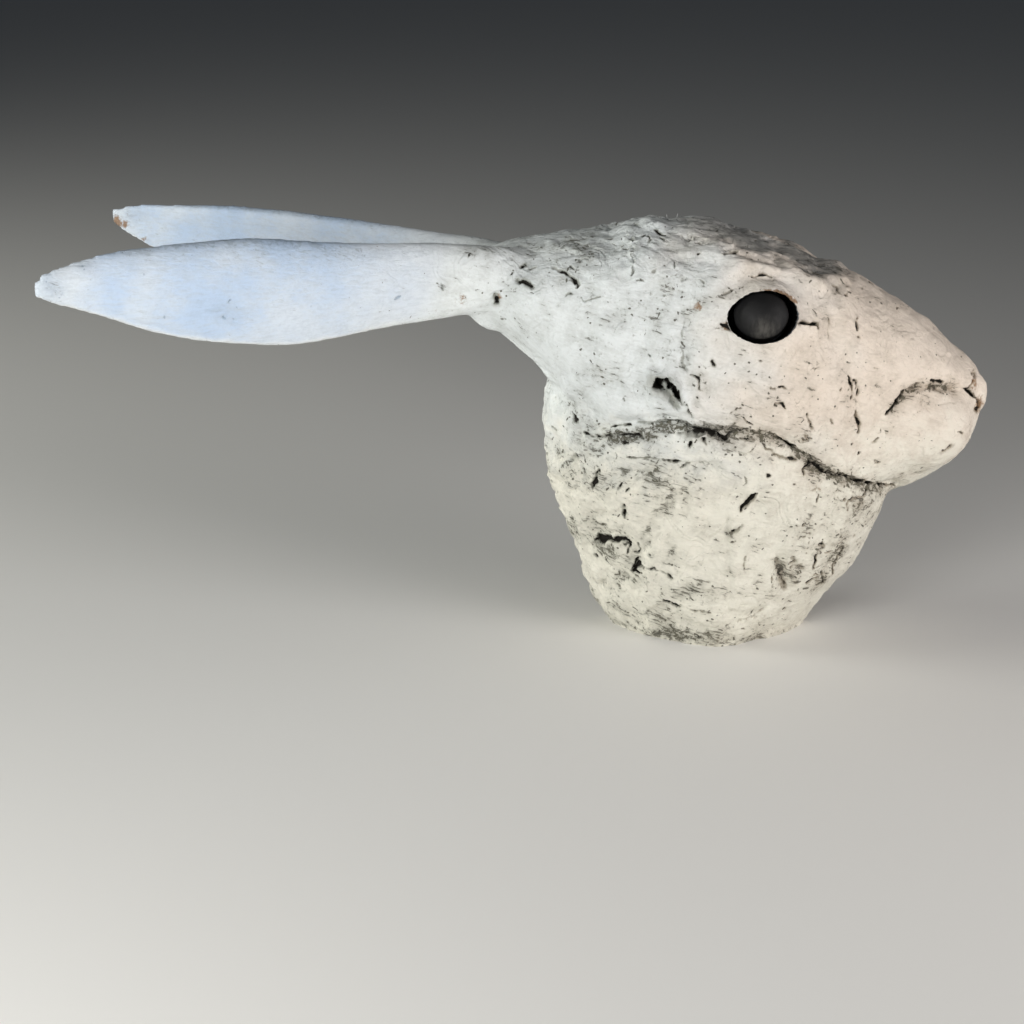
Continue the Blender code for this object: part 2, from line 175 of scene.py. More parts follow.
# Marks in the right side. Each is its line in millimetres along X and up Z, then its half width and
# depth in millimetres, and how much stain it holds
RIGHT_SLITS = (
    (((-0.5, 232.5), (3, 233.6), (6.5, 234.8)), 1.9, 3.5, 1.3),
    (((13, 235),), 0.9, 1.0, 1.0),
    (((6, 219), (11, 221)), 0.5, 0.8, 0.8),
    (((14, 221), (20, 222), (25, 221), (31, 217), (36, 213), (40, 208)), 0.55, 1.1, 0.75),
    (((18, 222), (23, 222)), 1.2, 1.6, 1.1),
    (((-2, 213), (4, 215)), 1.0, 1.2, 0.9),
    (((-2, 213), (-6, 210), (-10, 209)), 0.4, 0.5, 0.7),
    (((39, 198), (44, 197), (51, 196), (52, 193)), 0.85, 3.0, 1.3),
    (((47, 223), (48, 220)), 0.6, 0.8, 0.9),
    (((60, 213), (63, 211), (64, 208)), 1.1, 1.0, 0.75),
    (((66, 206), (68, 207)), 0.9, 1.2, 1.1),
    (((58, 199), (59, 196), (58, 193), (58, 188)), 0.6, 0.5, 0.65),
    (((73, 196), (73, 191)), 1.1, 1.4, 1.15),
    (((74, 187),), 0.8, 0.8, 0.9),
    (((20, 178),), 0.5, 0.6, 1.0),
    (((-6, 178), (-5, 176)), 0.8, 1.2, 1.1),
    (((-22, 205), (-23, 189), (-21, 175), (-19, 170)), 0.7, 0.8, 0.55),
    (((-18, 170), (-13, 168), (-12, 163), (-9, 160)), 0.7, 1.1, 0.9),
    (((-13, 158),), 0.8, 1.1, 1.15),
    (((26, 163), (28, 162)), 0.7, 0.8, 1.0),
    (((30, 163), (33, 163), (36, 161)), 0.7, 0.9, 1.1),
    (((42, 161),), 0.6, 0.7, 1.0),
    (((29, 152), (29, 154), (33, 154), (35, 151)), 0.65, 0.9, 1.05),
    (((29, 150), (31, 150)), 0.5, 0.6, 0.9),
    (((24, 152), (25, 152)), 0.5, 0.6, 0.9),
    (((23, 148), (25, 147)), 0.5, 0.6, 0.9),
    (((4, 147), (7, 149), (10, 151), (15, 151)), 0.6, 1.0, 1.0),
    (((12, 146), (14, 143), (17, 142)), 0.6, 0.9, 0.9),
    (((46, 147), (48, 143), (49, 140), (51, 138)), 0.8, 0.9, 0.85),
    (((59, 144), (63, 140)), 0.8, 0.9, 0.8),
    (((43, 135), (46, 136), (50, 132)), 0.9, 1.0, 0.9),
    (((70, 167), (71, 163), (72, 158), (72, 153)), 0.8, 1.5, 1.0),
    (((73, 165), (74, 161), (75, 158), (75, 153)), 0.6, 1.0, 0.85),
    (((75, 147), (76, 142), (78, 137), (78, 131)), 0.9, 1.5, 0.85),
    (((128, 118), (131, 121)), 1.1, 1.3, 1.15),
    (((134, 130), (138, 129)), 0.5, 0.7, 0.7),
    (((90, 133), (94, 131)), 0.5, 0.6, 0.55),
    (((94, 135), (98, 135)), 0.5, 0.7, 0.75),
    (((85, 125), (89, 129)), 0.8, 1.3, 1.1),
    (((78, 120), (80, 122)), 0.6, 0.9, 1.0),
    (((90, 108),), 0.6, 0.6, 0.8),
    (((87, 101), (95, 99)), 0.5, 0.6, 0.7),
    (((83, 170), (87, 169)), 0.5, 0.4, 0.5),
    (((-40, 181), (-37, 176)), 0.9, 1.5, 1.1),
    (((-65, 112), (-67, 106), (-69, 98)), 1.3, 1.8, 1.2),
    (((-53, 104), (-57, 95)), 0.7, 1.0, 0.9),
    (((-44, 107), (-51, 98)), 0.6, 0.9, 0.8),
    (((-52, 92), (-51, 81)), 1.1, 2.2, 1.25),
    (((-64, 101), (-61, 100)), 0.7, 0.9, 0.8),
    (((-81, 112), (-78, 115)), 1.8, 1.6, 1.2),
    (((-74, 110), (-73, 107)), 0.6, 0.8, 0.9),
    (((-81, 140), (-77, 134)), 0.8, 0.9, 0.9),
    (((22, 101), (13, 90)), 1.25, 2.6, 1.35),
    (((14, 81), (12, 78), (9, 76)), 1.4, 2.0, 1.3),
    (((14, 112), (15, 108), (13, 104)), 0.6, 0.6, 0.65),
    (((17, 63), (16, 57), (18, 51)), 0.55, 0.8, 0.85),
    (((-23, 38), (-18, 38)), 0.7, 0.7, 0.7),
    (((-12, 40), (-6, 37)), 0.7, 0.7, 0.6),
    (((59, 50), (62, 51)), 0.6, 0.8, 0.9),
    (((85, 96), (82, 93), (77, 94), (74, 92), (74, 86)), 1.1, 1.5, 1.1),
    (((56, 99), (56, 92)), 0.6, 0.8, 0.9),
    (((49, 102), (52, 101), (56, 103), (60, 103)), 0.6, 0.7, 0.7),
    (((16, 16), (23, 20), (31, 27)), 0.6, 0.5, 0.5),
    (((25, 80), (27, 76), (32, 73)), 0.4, 0.4, 0.4),
    (((43, 105),), 0.6, 0.7, 0.9),
    (((45, 80),), 0.7, 0.7, 0.9),
    (((50, 31),), 0.8, 0.8, 0.9),
    (((-115, 220), (-117, 216)), 0.8, 1.2, 1.0),
    (((-112, 217), (-110, 215)), 1.1, 1.2, 1.1),
    (((-108, 216), (-105, 214)), 1.2, 1.4, 1.2),
    (((-110, 223), (-107, 224)), 1.4, 1.4, 1.15),
    (((-104, 222), (-102, 223)), 1.0, 1.0, 1.0),
    (((-124, 209), (-124, 204)), 1.5, 2.0, 1.1),
    (((-154, 215), (-153, 213)), 0.8, 0.9, 0.9),
    (((-138, 231), (-139, 229)), 0.7, 0.8, 0.9),
    (((-94, 224), (-88, 222), (-82, 220), (-78, 217), (-80, 215)), 1.0, 1.3, 0.85),
    (((-84, 225), (-81, 223)), 0.9, 1.0, 0.8),
    (((-80, 228), (-73, 229)), 0.7, 0.9, 0.7),
    (((-85, 211), (-82, 212)), 0.8, 1.0, 1.0),
    (((-77, 210), (-75, 208), (-71, 210), (-67, 211)), 0.7, 0.9, 0.65),
    (((-90, 205),), 0.9, 0.9, 0.9),
    (((-78, 202),), 0.8, 0.8, 0.75),
    (((-32, 213),), 0.8, 0.8, 0.75),
    (((-57, 204),), 0.6, 0.6, 0.8),
    (((-71, 187),), 0.6, 0.6, 0.8),
    (((-39, 222), (-36, 225)), 1.0, 0.9, 0.7),
    (((-27, 230), (-27, 226)), 0.9, 0.9, 0.6),
    (((-24, 219), (-20, 222)), 0.8, 0.8, 0.6),
    (((-35, 240), (-31, 238)), 0.9, 0.9, 0.7),
    (((-355, 227.5),), 0.5, 0.5, 1.0),
    (((-353.3, 226),), 0.5, 0.5, 1.0),
    (((-354.2, 224.3),), 0.45, 0.5, 1.0),
    (((-350.6, 221.7),), 0.7, 0.6, 1.1),
    (((-348.4, 220.6),), 0.7, 0.6, 1.1),
    (((-350, 219),), 0.5, 0.5, 1.0),
    (((-338.8, 235.2),), 0.45, 0.5, 1.0),
    (((-337.2, 234.2),), 0.5, 0.5, 1.0),
    (((-336.4, 232.6),), 0.45, 0.5, 1.0),
    (((-306.8, 230.3),), 0.5, 0.4, 0.8),
    (((-243, 227.5), (-241.5, 227)), 0.5, 0.5, 1.1),
    (((-200, 234.6),), 0.5, 0.4, 0.9),
    (((-199, 231),), 0.55, 0.4, 0.95),
    (((-265.3, 211.8), (-264, 213)), 0.5, 0.5, 1.0),
    (((-262, 210.5),), 0.45, 0.4, 0.9),
    (((-250.5, 210.3),), 0.5, 0.4, 0.85),
    (((-268.5, 204), (-267, 203)), 0.8, 0.5, 0.7),
    (((-263, 202),), 0.6, 0.5, 1.0),
    (((-298.2, 207.8), (-298, 206)), 0.6, 0.5, 0.6),
    (((-222.8, 207.2), (-220, 206.5)), 0.5, 0.4, 0.7),
    (((-179, 208.5), (-175, 209.5)), 0.7, 0.8, 1.1),
    (((-75, 130), (-70, 129), (-61, 131), (-53, 133), (-46, 133), (-42, 132)), 0.9, 1.6, 1.0),
    (((-58, 135), (-56, 137), (-47, 139)), 0.9, 1.2, 0.9),
    (((-70, 132), (-60, 134)), 0.8, 0.9, 0.8),
    (((53, 117), (57, 114), (64, 110), (73, 107), (80, 103), (86, 100), (94, 96), (105, 91)), 1.2, 2.2, 1.1),
    (((92, 142), (97, 148), (101, 155), (105, 157)), 0.85, 2.2, 1.25),

    # Round the eye and on the skull
    (((5, 195), (1, 197.5), (-2, 198)), 0.9, 2.2, 1.3),
    (((4.5, 196.5), (3, 199)), 1.9, 2.0, 0.9),
    (((-50, 239), (-49.5, 237)), 1.2, 1.4, 1.3),
    (((-49, 235), (-50.5, 231), (-49, 228), (-49, 224), (-49.5, 220)), 0.6, 1.0, 0.75),
    (((-88, 232), (-81, 234), (-74, 234)), 1.1, 1.2, 0.75),
    (((-84, 230), (-78, 231)), 1.0, 1.1, 0.7),
    (((-37, 242), (-33, 241)), 0.8, 1.0, 0.9),
    (((-25, 241), (-10, 238)), 0.8, 0.9, 0.6),
    (((-2, 236), (12, 233)), 0.7, 0.8, 0.55),

    # The ear hole, the torn band down from it and the line below
    (((-33.5, 164.5), (-31.5, 164)), 4.1, 9.0, 1.6),
    (((-36.3, 163.5),), 2.0, 5.0, 1.5),
    (((-29, 166), (-26, 161.5), (-23, 156), (-22, 154)), 1.9, 7.0, 1.5),
    (((-20, 155), (-19, 152), (-16, 146)), 0.8, 1.6, 0.9),

    # The jaw's fold: the torn cavity with its teeth, the lines over it and the lines that run forward
    (((-22, 134.5), (-18, 135), (-14, 135.5), (-10, 137), (-6, 137), (-2, 135.5), (1, 133)), 2.3, 3.8, 1.4),
    (((-17, 134), (-12, 134.3), (-8, 135)), 1.9, 3.4, 1.35),
    (((-16, 133), (-16, 129), (-16.3, 125.5)), 0.8, 2.0, 1.15),
    (((-10.5, 134), (-9.2, 131), (-7.8, 128)), 0.85, 2.0, 1.1),
    (((0.5, 132), (3.2, 132)), 1.6, 3.4, 1.5),
    (((3, 132), (5, 135), (8, 137)), 0.9, 1.8, 0.85),
    (((-46, 140), (-38, 141), (-33, 143), (-27, 143)), 0.9, 1.2, 0.55),
    (((-27, 143), (-22, 143), (-18.5, 141), (-14, 139), (-9, 138.2), (-4, 138.8)), 0.8, 1.6, 0.85),
    (((-11, 143), (-6, 140.3), (0, 139), (5, 138.2), (13, 138), (20, 138)), 0.9, 1.5, 0.6),
    (((11, 133.2), (16, 133), (20, 132)), 0.8, 1.5, 0.9),
    (((3, 126), (9, 123.5), (15, 124.3), (18, 127)), 0.5, 0.8, 0.45),
    (((23, 130), (26, 126.3), (29, 124), (34, 121.3), (41, 120.7)), 0.75, 1.6, 0.85),
    (((40, 120.3), (43, 120.2)), 1.1, 1.6, 1.1),
    (((27, 136.3), (31, 134.2), (35, 131.2), (39, 129), (43, 127), (47, 124), (51, 121), (52.5, 118)),
     0.85, 2.0, 0.9),
    (((33.5, 132.2), (39, 129), (44, 127.3)), 1.3, 2.4, 1.25),
    (((48, 110.5), (47, 114), (50, 117), (54, 117.3), (57, 114.3), (62, 112)), 1.0, 1.8, 0.95),
    (((43, 135), (45, 136.4), (47.5, 135.5), (50, 132)), 0.5, 0.8, 0.8),
    (((43, 133), (46, 130.5), (48.5, 131), (49, 134)), 0.5, 0.8, 0.75),
    (((-52, 120), (-42, 120.3), (-37, 119.5), (-31, 119), (-21, 118.8)), 0.7, 1.2, 0.75),
    (((-28, 118.2), (-24, 118), (-20.5, 118.3)), 1.3, 1.8, 1.25),
    (((-21, 115), (-18.5, 116.4), (-16, 118.3)), 0.6, 0.9, 0.8),
    (((-10, 118.2), (-8, 119.3), (-4, 118.5)), 0.6, 0.9, 0.9),
    (((-9, 117), (-6, 116)), 0.5, 0.7, 0.7),

    # The neck's torn pocket with its curls, and the slits below it
    (((-66.5, 62), (-64, 63.8), (-61, 64.8), (-57.5, 63), (-54.5, 64), (-52, 65.6), (-49, 64.6), (-46.5, 64)),
     1.3, 2.4, 1.3),
    (((-64, 63.2), (-60.5, 64)), 2.2, 3.0, 1.3),
    (((-56, 64.5), (-51, 65)), 1.5, 2.6, 1.35),
    (((-56, 70),), 0.6, 0.8, 1.0),
    (((-53.7, 71.4),), 0.7, 0.9, 1.1),
    (((-50.6, 69.6),), 0.7, 0.9, 1.1),
    (((-52, 63), (-50, 61.7), (-48, 63.5)), 1.0, 1.8, 1.2),
    (((-47, 63.5), (-48, 60), (-49, 56.5)), 0.9, 1.6, 1.1),
    (((-45, 58.2), (-43, 57.3), (-41.8, 60.5), (-43, 65)), 0.7, 1.2, 1.1),
    (((-45, 47.5), (-42.5, 50.2), (-40, 51), (-38.3, 49.8)), 1.9, 3.0, 1.05),
    (((-42, 55.3), (-44, 52), (-46, 48)), 0.9, 1.8, 1.2),
    (((-47, 47), (-43, 46), (-41, 45)), 0.9, 1.5, 1.2),
    (((-60.3, 52), (-60, 48.5), (-58, 46)), 1.0, 1.3, 1.0),
    (((-37, 50), (-33, 50.3), (-28, 48), (-24.5, 46.3)), 0.7, 0.8, 0.75),
    (((-25.6, 46.8), (-24, 45.3)), 1.1, 1.3, 1.15),
    (((-28.3, 31), (-24, 29), (-18, 26.3)), 0.95, 1.6, 1.1),
    (((-11.3, 26), (-7, 25.2), (-0.8, 25)), 0.95, 1.2, 0.95),
    (((-37, 1.5), (-28, 4), (-20, 3)), 0.8, 0.9, 0.75),

    # Cracks in and round the finger presses, and the long crack at the neck's front
    (((35.5, 51), (38, 46), (41.5, 38.5)), 0.7, 1.2, 0.95),
    (((33, 58.5), (35.5, 58.6), (38, 55)), 0.5, 0.8, 0.75),
    (((33, 50), (33, 41), (34, 36)), 0.5, 0.8, 0.6),
    (((43.3, 55.5), (46.2, 55)), 1.0, 1.3, 1.1),
    (((48, 51.2), (50.6, 50.2)), 1.0, 1.3, 1.1),
    (((48, 44), (48.2, 39), (49, 33)), 0.5, 0.7, 0.65),
    (((60, 65), (63, 64)), 1.0, 1.2, 1.2),
    (((61.3, 66.5), (62.2, 62)), 0.9, 1.2, 1.15),
    (((52, 71),), 0.5, 0.6, 0.9),
    (((52, 68.6),), 0.6, 0.7, 1.0),
    (((52.5, 66),), 0.6, 0.7, 1.0),
    (((52.7, 61),), 0.5, 0.6, 0.9),
    (((58, 58.5), (57.2, 53), (57, 48)), 0.8, 1.3, 1.1),
    (((52, 39.5), (55, 40.2), (58, 42), (61, 42)), 1.0, 1.5, 1.1),
    (((57, 44), (59, 46), (61.2, 42.6), (59, 40)), 0.6, 1.0, 0.95),
    (((62, 47), (64.3, 41), (64, 36.4), (62, 34)), 0.9, 1.3, 0.9),
    (((78, 62), (75, 60.5), (74, 57), (72, 54), (70.8, 50), (69.3, 46), (70, 41)), 1.0, 2.2, 1.2),
    (((71.3, 64.6), (75, 66.3)), 1.1, 1.3, 0.95),
    (((81, 67.4),), 0.8, 0.9, 1.1),

    # The crack that sets off the tip of the nose, and blobs along the upper lip
    (((147, 160), (143.5, 155), (142, 151), (139.5, 150.2)), 0.7, 1.4, 0.85),
    (((139, 151), (142, 148), (146, 144)), 1.2, 2.8, 1.4),
    (((146, 144), (148, 140), (148, 135)), 1.1, 3.0, 1.3),
    (((118, 160), (121, 158.5), (126, 158)), 1.1, 1.4, 1.15),
    (((108, 159), (113, 158.5)), 0.9, 0.9, 0.7),
)

# Soft creases and finger presses in the right side, given the same way
RIGHT_DENTS = (
    (((105, 157), (117, 156), (126, 154), (138, 151)), 1.6, 1.3, 0.45),
    (((35, 58), (38, 48), (41, 37)), 3.2, 2.0, 0.62),
    (((44, 59), (50, 49)), 3.0, 1.7, 0.6),
    (((147, 137), (152, 134)), 2.2, 2.2, 0.7),
    (((-80, 73), (-75, 58)), 2.5, 1.2, 0.6),
    (((-342, 219), (-330, 212), (-316, 205), (-299, 198)), 1.6, 0.9, 0.12),
    (((-266, 207), (-262, 200)), 1.6, 0.5, 0.3),
    (((-23, 205), (-23, 189), (-21, 175)), 4.0, 1.0, 0.1),
    (((60, 200), (68, 180), (74, 165), (77, 140), (80, 125)), 4.5, 1.0, 0.1),
    (((-60, 205), (-45, 190), (-38, 175)), 6.0, 0.8, 0.05),
    (((-8, 100), (0, 75), (-6, 50)), 8.0, 0.9, 0.0),
    (((66, 90), (60, 70), (52, 60)), 6.0, 0.9, 0.1),
    (((-70, 95), (-66, 75), (-72, 55)), 6.0, 1.0, 0.1),
)

# The edge between the head's side and its top, along X and up Z in millimetres
CROWN_RIDGE = (
    (-49, 243), (-37, 243), (-19, 242), (-3, 238), (16, 234), (31, 230), (43, 223), (55, 217), (70, 212),
)

# How far the top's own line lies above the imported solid's, in millimetres at places along X
TOP_LINE = (
    (-100, 0), (-86, -1), (-74, -2.7), (-62, -4), (-50, -1.5), (-39, -1.4), (-27, -4), (-15, -1.9),
    (-3, -1.9), (8, -3.8), (20, -4.6), (32, -3.4), (43, -1.2), (55, -1.3), (67, 2.4), (79, 0.2),
    (90, -0.4), (102, 0.6), (114, 0.9), (135, 0),
)

# Raised rolls and ridges in the right side, given the same way with height in place of depth
RIGHT_ROLLS = (
    (CROWN_RIDGE, 4.2, 1.9, 0.0),
    (((-60, 128), (-45, 128), (-30, 127)), 2.4, 1.0, 0.0),
    (((-26.5, 168), (-24, 164), (-20, 158), (-16, 151), (-13, 146)), 2.3, 1.5, 0.0),
    (((150, 158), (152.5, 149), (151, 140)), 4.6, 1.6, 0.0),
    (((-19.5, 131), (-18, 127)), 1.3, 1.0, 0.0),
    (((-13.5, 131), (-12, 127.5)), 1.5, 1.3, 0.0),
    (((-5, 134), (-2.8, 130.5), (-1, 127.5)), 1.7, 1.7, 0.0),
    (((9, 128.2), (12.5, 128.2)), 3.0, 2.0, 0.3),
    (((20, 134.5), (27, 131.5), (33, 127), (40, 124)), 3.0, 1.4, 0.0),
    (((55, 119), (66, 113), (78, 108), (90, 102)), 2.2, 1.0, 0.0),
    (((-55.3, 61), (-53, 57)), 2.0, 2.0, 0.0),
    (((-62, 57), (-57, 50)), 3.0, 1.2, 0.0),
    (((-45.2, 62), (-44.8, 59.8)), 1.0, 1.4, 0.0),
    (((-15, 124), (10, 124)), 3.0, 0.8, 0.0),
    (((2, 216), (13, 219), (26, 218), (36, 210)), 3.0, 0.5, 0.0),
    (((-15, 168), (-12, 158), (-8, 150)), 2.6, 0.9, 0.0),
    (((41, 50), (43, 40)), 1.5, 0.8, 0.0),
    (((24, 114), (42, 91), (52, 67)), 5.0, 1.0, 0.0),
    (((-355, 226), (-348, 228), (-336, 230)), 6.5, 1.8, 0.0),
    (((-361, 221), (-350, 218), (-336, 213)), 5.0, 0.9, 0.0),
    (((-84, 160), (-82, 154)), 3.0, 1.6, 0.0),
    (((-88, 141), (-90, 134), (-91, 126)), 3.4, 1.8, 0.0),
    (((-90, 112), (-91, 102)), 3.2, 1.5, 0.0),
    (((-87, 84), (-85, 74)), 3.0, 1.5, 0.0),
    (((66, 211), (69, 209)), 1.2, 1.0, 0.0),
    (((128, 171), (131, 170)), 1.2, 0.8, 0.0),
)

# A torn flap of clay that lies in the ear hole, given as the slits are
RIGHT_FLAPS = (
    (((-31.5, 164), (-30.5, 161), (-28.5, 158)), 1.2, 3.6, 0.55),
    (((-28.5, 159.5), (-27.3, 156), (-25.5, 152.8), (-24.3, 151)), 2.1, 2.2, 0.58),
)

# Folds in the right side: the clay above the line stands proud and the clay below it is pressed in. Each
# is its line, the two heights and how far they spread, in millimetres, and the stain and painted shade under
# the lip
RIGHT_FOLDS = (
    (((-76, 130), (-61, 131), (-46, 134), (-33, 139), (-22, 141), (-10, 139), (5, 138), (20, 137),
      (30, 134), (37, 131), (43, 126), (49, 122), (53, 118), (64, 110), (80, 103), (94, 96), (106, 91)),
     1.3, 2.4, 8, 0.95),
    (((-54, 120), (-37, 119.5), (-21, 118.5), (-4, 119), (8, 117)), 0.5, 0.9, 5, 0.35),
    (((91, 140), (97, 148), (102, 155), (109, 157.5), (117, 157), (126, 155), (139, 151)), 0.9, 3.2, 7, 0.75),
    (((-11, 158), (-14, 166), (-20, 172), (-22, 189), (-20, 205), (-10, 212)), 0.5, 0.6, 6, 0.2),
    (((-4, 213), (6, 217), (16, 221.5), (25, 220.5), (33, 215), (40, 207)), 0.5, 0.5, 4, 0.15),
    (((36, 27), (24, 21), (10, 14), (-4, 12)), 0.5, 0.5, 4, 0.2),
    (((6, 93), (8, 72), (10, 45), (11, 20)), 0.9, 0.8, 9, 0.0),
    (((0, 236), (12, 236.5), (22, 234)), 1.0, 0.4, 3, 0.1),
)

# Places in the right side where the slip is worn and stain is rubbed in, and one that also paints shade on
# the lip pad's top, each its middle, its half length and half height in millimetres, and its strength
RIGHT_WORN = (
    (-137, 231, 6, 3, 0.4), (-124, 232, 9, 3, 0.65), (-108, 229, 10, 3, 0.5), (-92, 227, 8, 4, 0.45),
    (-78, 232, 10, 4.5, 0.65), (-85, 221, 6, 8, 0.3), (-104, 217, 9, 6, 0.1), (-45, 112, 30, 12, 0.5),
    (-190, 233, 22, 3, 0.4), (-142, 207, 5, 5, 0.3), (-132, 207, 4, 8, 0.2), (-99, 193, 6, 7, 0.15),
    (-30, 217, 4, 4, 0.45), (-22, 222, 4, 7, 0.35), (-13, 216, 6, 7, 0.35), (-48, 232, 4, 9, 0.35),
    (-30, 237, 10, 3, 0.35), (20, 232, 16, 3, 0.2), (-60, 205, 14, 12, 0.2), (-66, 187, 10, 10, 0.15),
    (-80, 143, 8, 10, 0.65), (-70, 133, 6, 6, 0.5), (-62, 168, 7, 7, 0.45), (-40, 160, 5, 6, 0.4),
    (-60, 128, 8, 3, 0.55), (-38, 129, 13, 3, 0.4), (-68, 108, 14, 18, 0.5), (-33, 113, 18, 4, 0.45),
    (-32, 92, 3, 6, 0.45), (-50, 56, 14, 11, 0.5), (-45, 40, 15, 6, 0.5), (-12, 36, 16, 7, 0.5),
    (-20, 6, 22, 5, 0.6), (28, 12, 14, 8, 0.4), (-79, 66, 5, 12, 0.65), (0, 98, 15, 5, 0.25),
    (2, 76, 18, 4, 0.3), (-10, 134, 12, 5, 0.5), (16, 134, 9, 4, 0.55), (47, 134, 5, 4, 0.65),
    (58, 131, 4, 13, 0.45), (66, 108, 15, 4, 0.6), (50, 66, 1.8, 9, 0.5), (60, 62, 5, 4, 0.6),
    (74, 68, 6, 5, 0.45), (38, 50, 4, 9, 0.6), (48, 50, 4, 9, 0.55), (34, 38, 2, 7, 0.45),
    (61, 40, 8, 8, 0.55), (102, 90, 3, 5, 0.5), (66, 100, 12, 4, 0.4), (72, 148, 4, 16, 0.4),
    (92, 133, 6, 4, 0.45), (100, 145, 6, 6, 0.4), (118, 158, 14, 3, 0.5), (126, 146, 10, 4, 0.2),
    (58, 196, 3, 10, 0.4), (63, 210, 5, 4, 0.45), (29, 153, 9, 7, 0.3), (12, 146, 8, 4, 0.3),
    (-12, 168, 5, 9, 0.4), (-352, 224, 6, 5, 0.55), (-338, 234, 4, 3, 0.4), (-266, 206, 8, 5, 0.3),
    (-72, 124, 10, 12, 0.6), (-82, 104, 6, 16, 0.65), (-35, 110, 26, 8, 0.4), (-28, 18, 30, 12, 0.3),
    (70, 60, 7, 14, 0.65), (80, 85, 8, 14, 0.6), (48, 78, 12, 14, 0.35), (32, 236, 26, 4, 0.2),
    (60, 222, 16, 6, 0.35), (-8, 210, 8, 5, 0.35), (1, 214, 5, 3, 0.6), (0, 197, 5, 3, 0.5),
    # The patch at 112, 150 greys the lip pad's top with film and painted shade under the muzzle's overhang
    (42, 224, 7, 3, 0.2), (112, 150, 16, 7, 0.35), (35, 166, 32, 20, 0.2), (0, 126, 30, 7, 0.35),
    (84, 178, 7, 10, 0.2), (96, 190, 12, 8, 0.18), (134, 174, 8, 4, 0.2), (-30, 187, 8, 14, 0.2),
)

# Bare tan clay where the slip is thin or chipped, given in the same way
RIGHT_BARE = (
    (-14, 207, 3.6, 2.8, 0.7), (33, 209, 5, 2, 0.7), (46, 134, 5, 4, 0.45), (-122, 207, 2, 3.4, 0.7),
    (-143, 207, 5, 5, 0.55), (1, 197, 4, 3, 0.7), (32, 139, 3, 1.5, 0.45), (145, 153, 3, 5, 0.6),
    (149, 140, 3, 6, 0.75), (-27, 157, 4, 5, 0.35), (-8, 25, 8, 2, 0.4), (-362, 226, 3, 3, 0.35),
    (-158, 200, 8, 5, 0.3), (54, 102, 7, 4, 0.38), (25, 21, 12, 5, 0.33), (76, 104, 14, 3, 0.36),
)

# Marks in the left side, which is plainer
LEFT_SLITS = (
    (((-70, 130), (-50, 133), (-25, 142), (0, 138), (20, 133)), 1.3, 2.2, 0.9),
    (((22, 131), (38, 127), (53, 118), (70, 108), (88, 99), (105, 91)), 1.3, 2.2, 1.0),
    (((92, 142), (98, 149), (105, 157), (118, 157), (134, 152)), 1.0, 1.8, 1.0),
    (((140, 150), (146, 144), (148, 136)), 1.3, 2.2, 1.2),
    (((8, 219), (20, 223), (31, 218), (40, 208)), 0.6, 1.1, 0.8),
    (((39, 198), (46, 197), (52, 194)), 0.8, 2.4, 1.2),
    (((4, 196), (-2, 198)), 0.9, 1.8, 1.0),
    (((70, 166), (72, 154), (76, 140)), 0.8, 1.2, 0.8),
    (((-40, 110), (-48, 98)), 1.0, 1.8, 1.2),
    (((30, 96), (22, 84)), 0.9, 1.6, 1.1),
    (((-10, 60), (2, 55)), 1.1, 1.4, 1.0),
    (((40, 60), (45, 46)), 1.2, 1.4, 1.0),
    (((-60, 70), (-55, 58)), 1.6, 2.0, 1.1),
    (((-30, 30), (-18, 27)), 1.0, 1.3, 0.9),
    (((-30, 205), (-22, 195)), 0.8, 1.0, 0.8),
)

# The left ear's tip: its upper corner is rounded off and its front edge is raw, given as a place in
# millimetres, a reach, the depth pressed in, the stain and the bare clay
LEFT_TIP = (
    ((-366, 97, 229), 5, 1.0, 0.0, 0.0),
    ((-363, 97, 219), 4.5, 1.0, 0.0, 1.0),
    ((-357.5, 95, 217.5), 3.0, 0.8, 0.3, 0.9),
    ((-360, 96.5, 229.5), 2.4, 1.4, 1.3, 0.0),
    ((-345, 90.5, 209.3), 3.0, 0.0, 0.0, 0.7),
)

# Loose marks scattered over the clay: how many, the ranges of their length and half width in millimetres,
# their depth as a share of that width, and how few fall on the right side, which has its own
SCATTER_COUNT = 560
SCATTER_LENGTH = (0.5, 8.5)
SCATTER_WIDTH = (0.4, 1.1)
SCATTER_DEPTH = (0.8, 1.5)
SCATTER_RIGHT_SHARE = 0.3
SCATTER_SEED = 7
SCATTER_CLUMP = 25 * MM

# How often edges that are too long for the marks on them are split
REFINE_PASSES = 2


def linear(code, alpha=1.0):
    """A colour given as a hex sRGB code, in the linear values that shaders take."""
    parts = [int(code[i : i + 2], 16) / 255 for i in (1, 3, 5)]
    return (*[c / 12.92 if c <= 0.04045 else ((c + 0.055) / 1.055) ** 2.4 for c in parts], alpha)


def length_setting(name, description, length):
    return FloatProperty(
        name=name, description=description, default=length, subtype="DISTANCE", unit="LENGTH",
    )


def colour_setting(name, description, code):
    return FloatVectorProperty(
        name=name, description=description, size=4, subtype="COLOR", min=0, max=1, default=linear(code),
    )


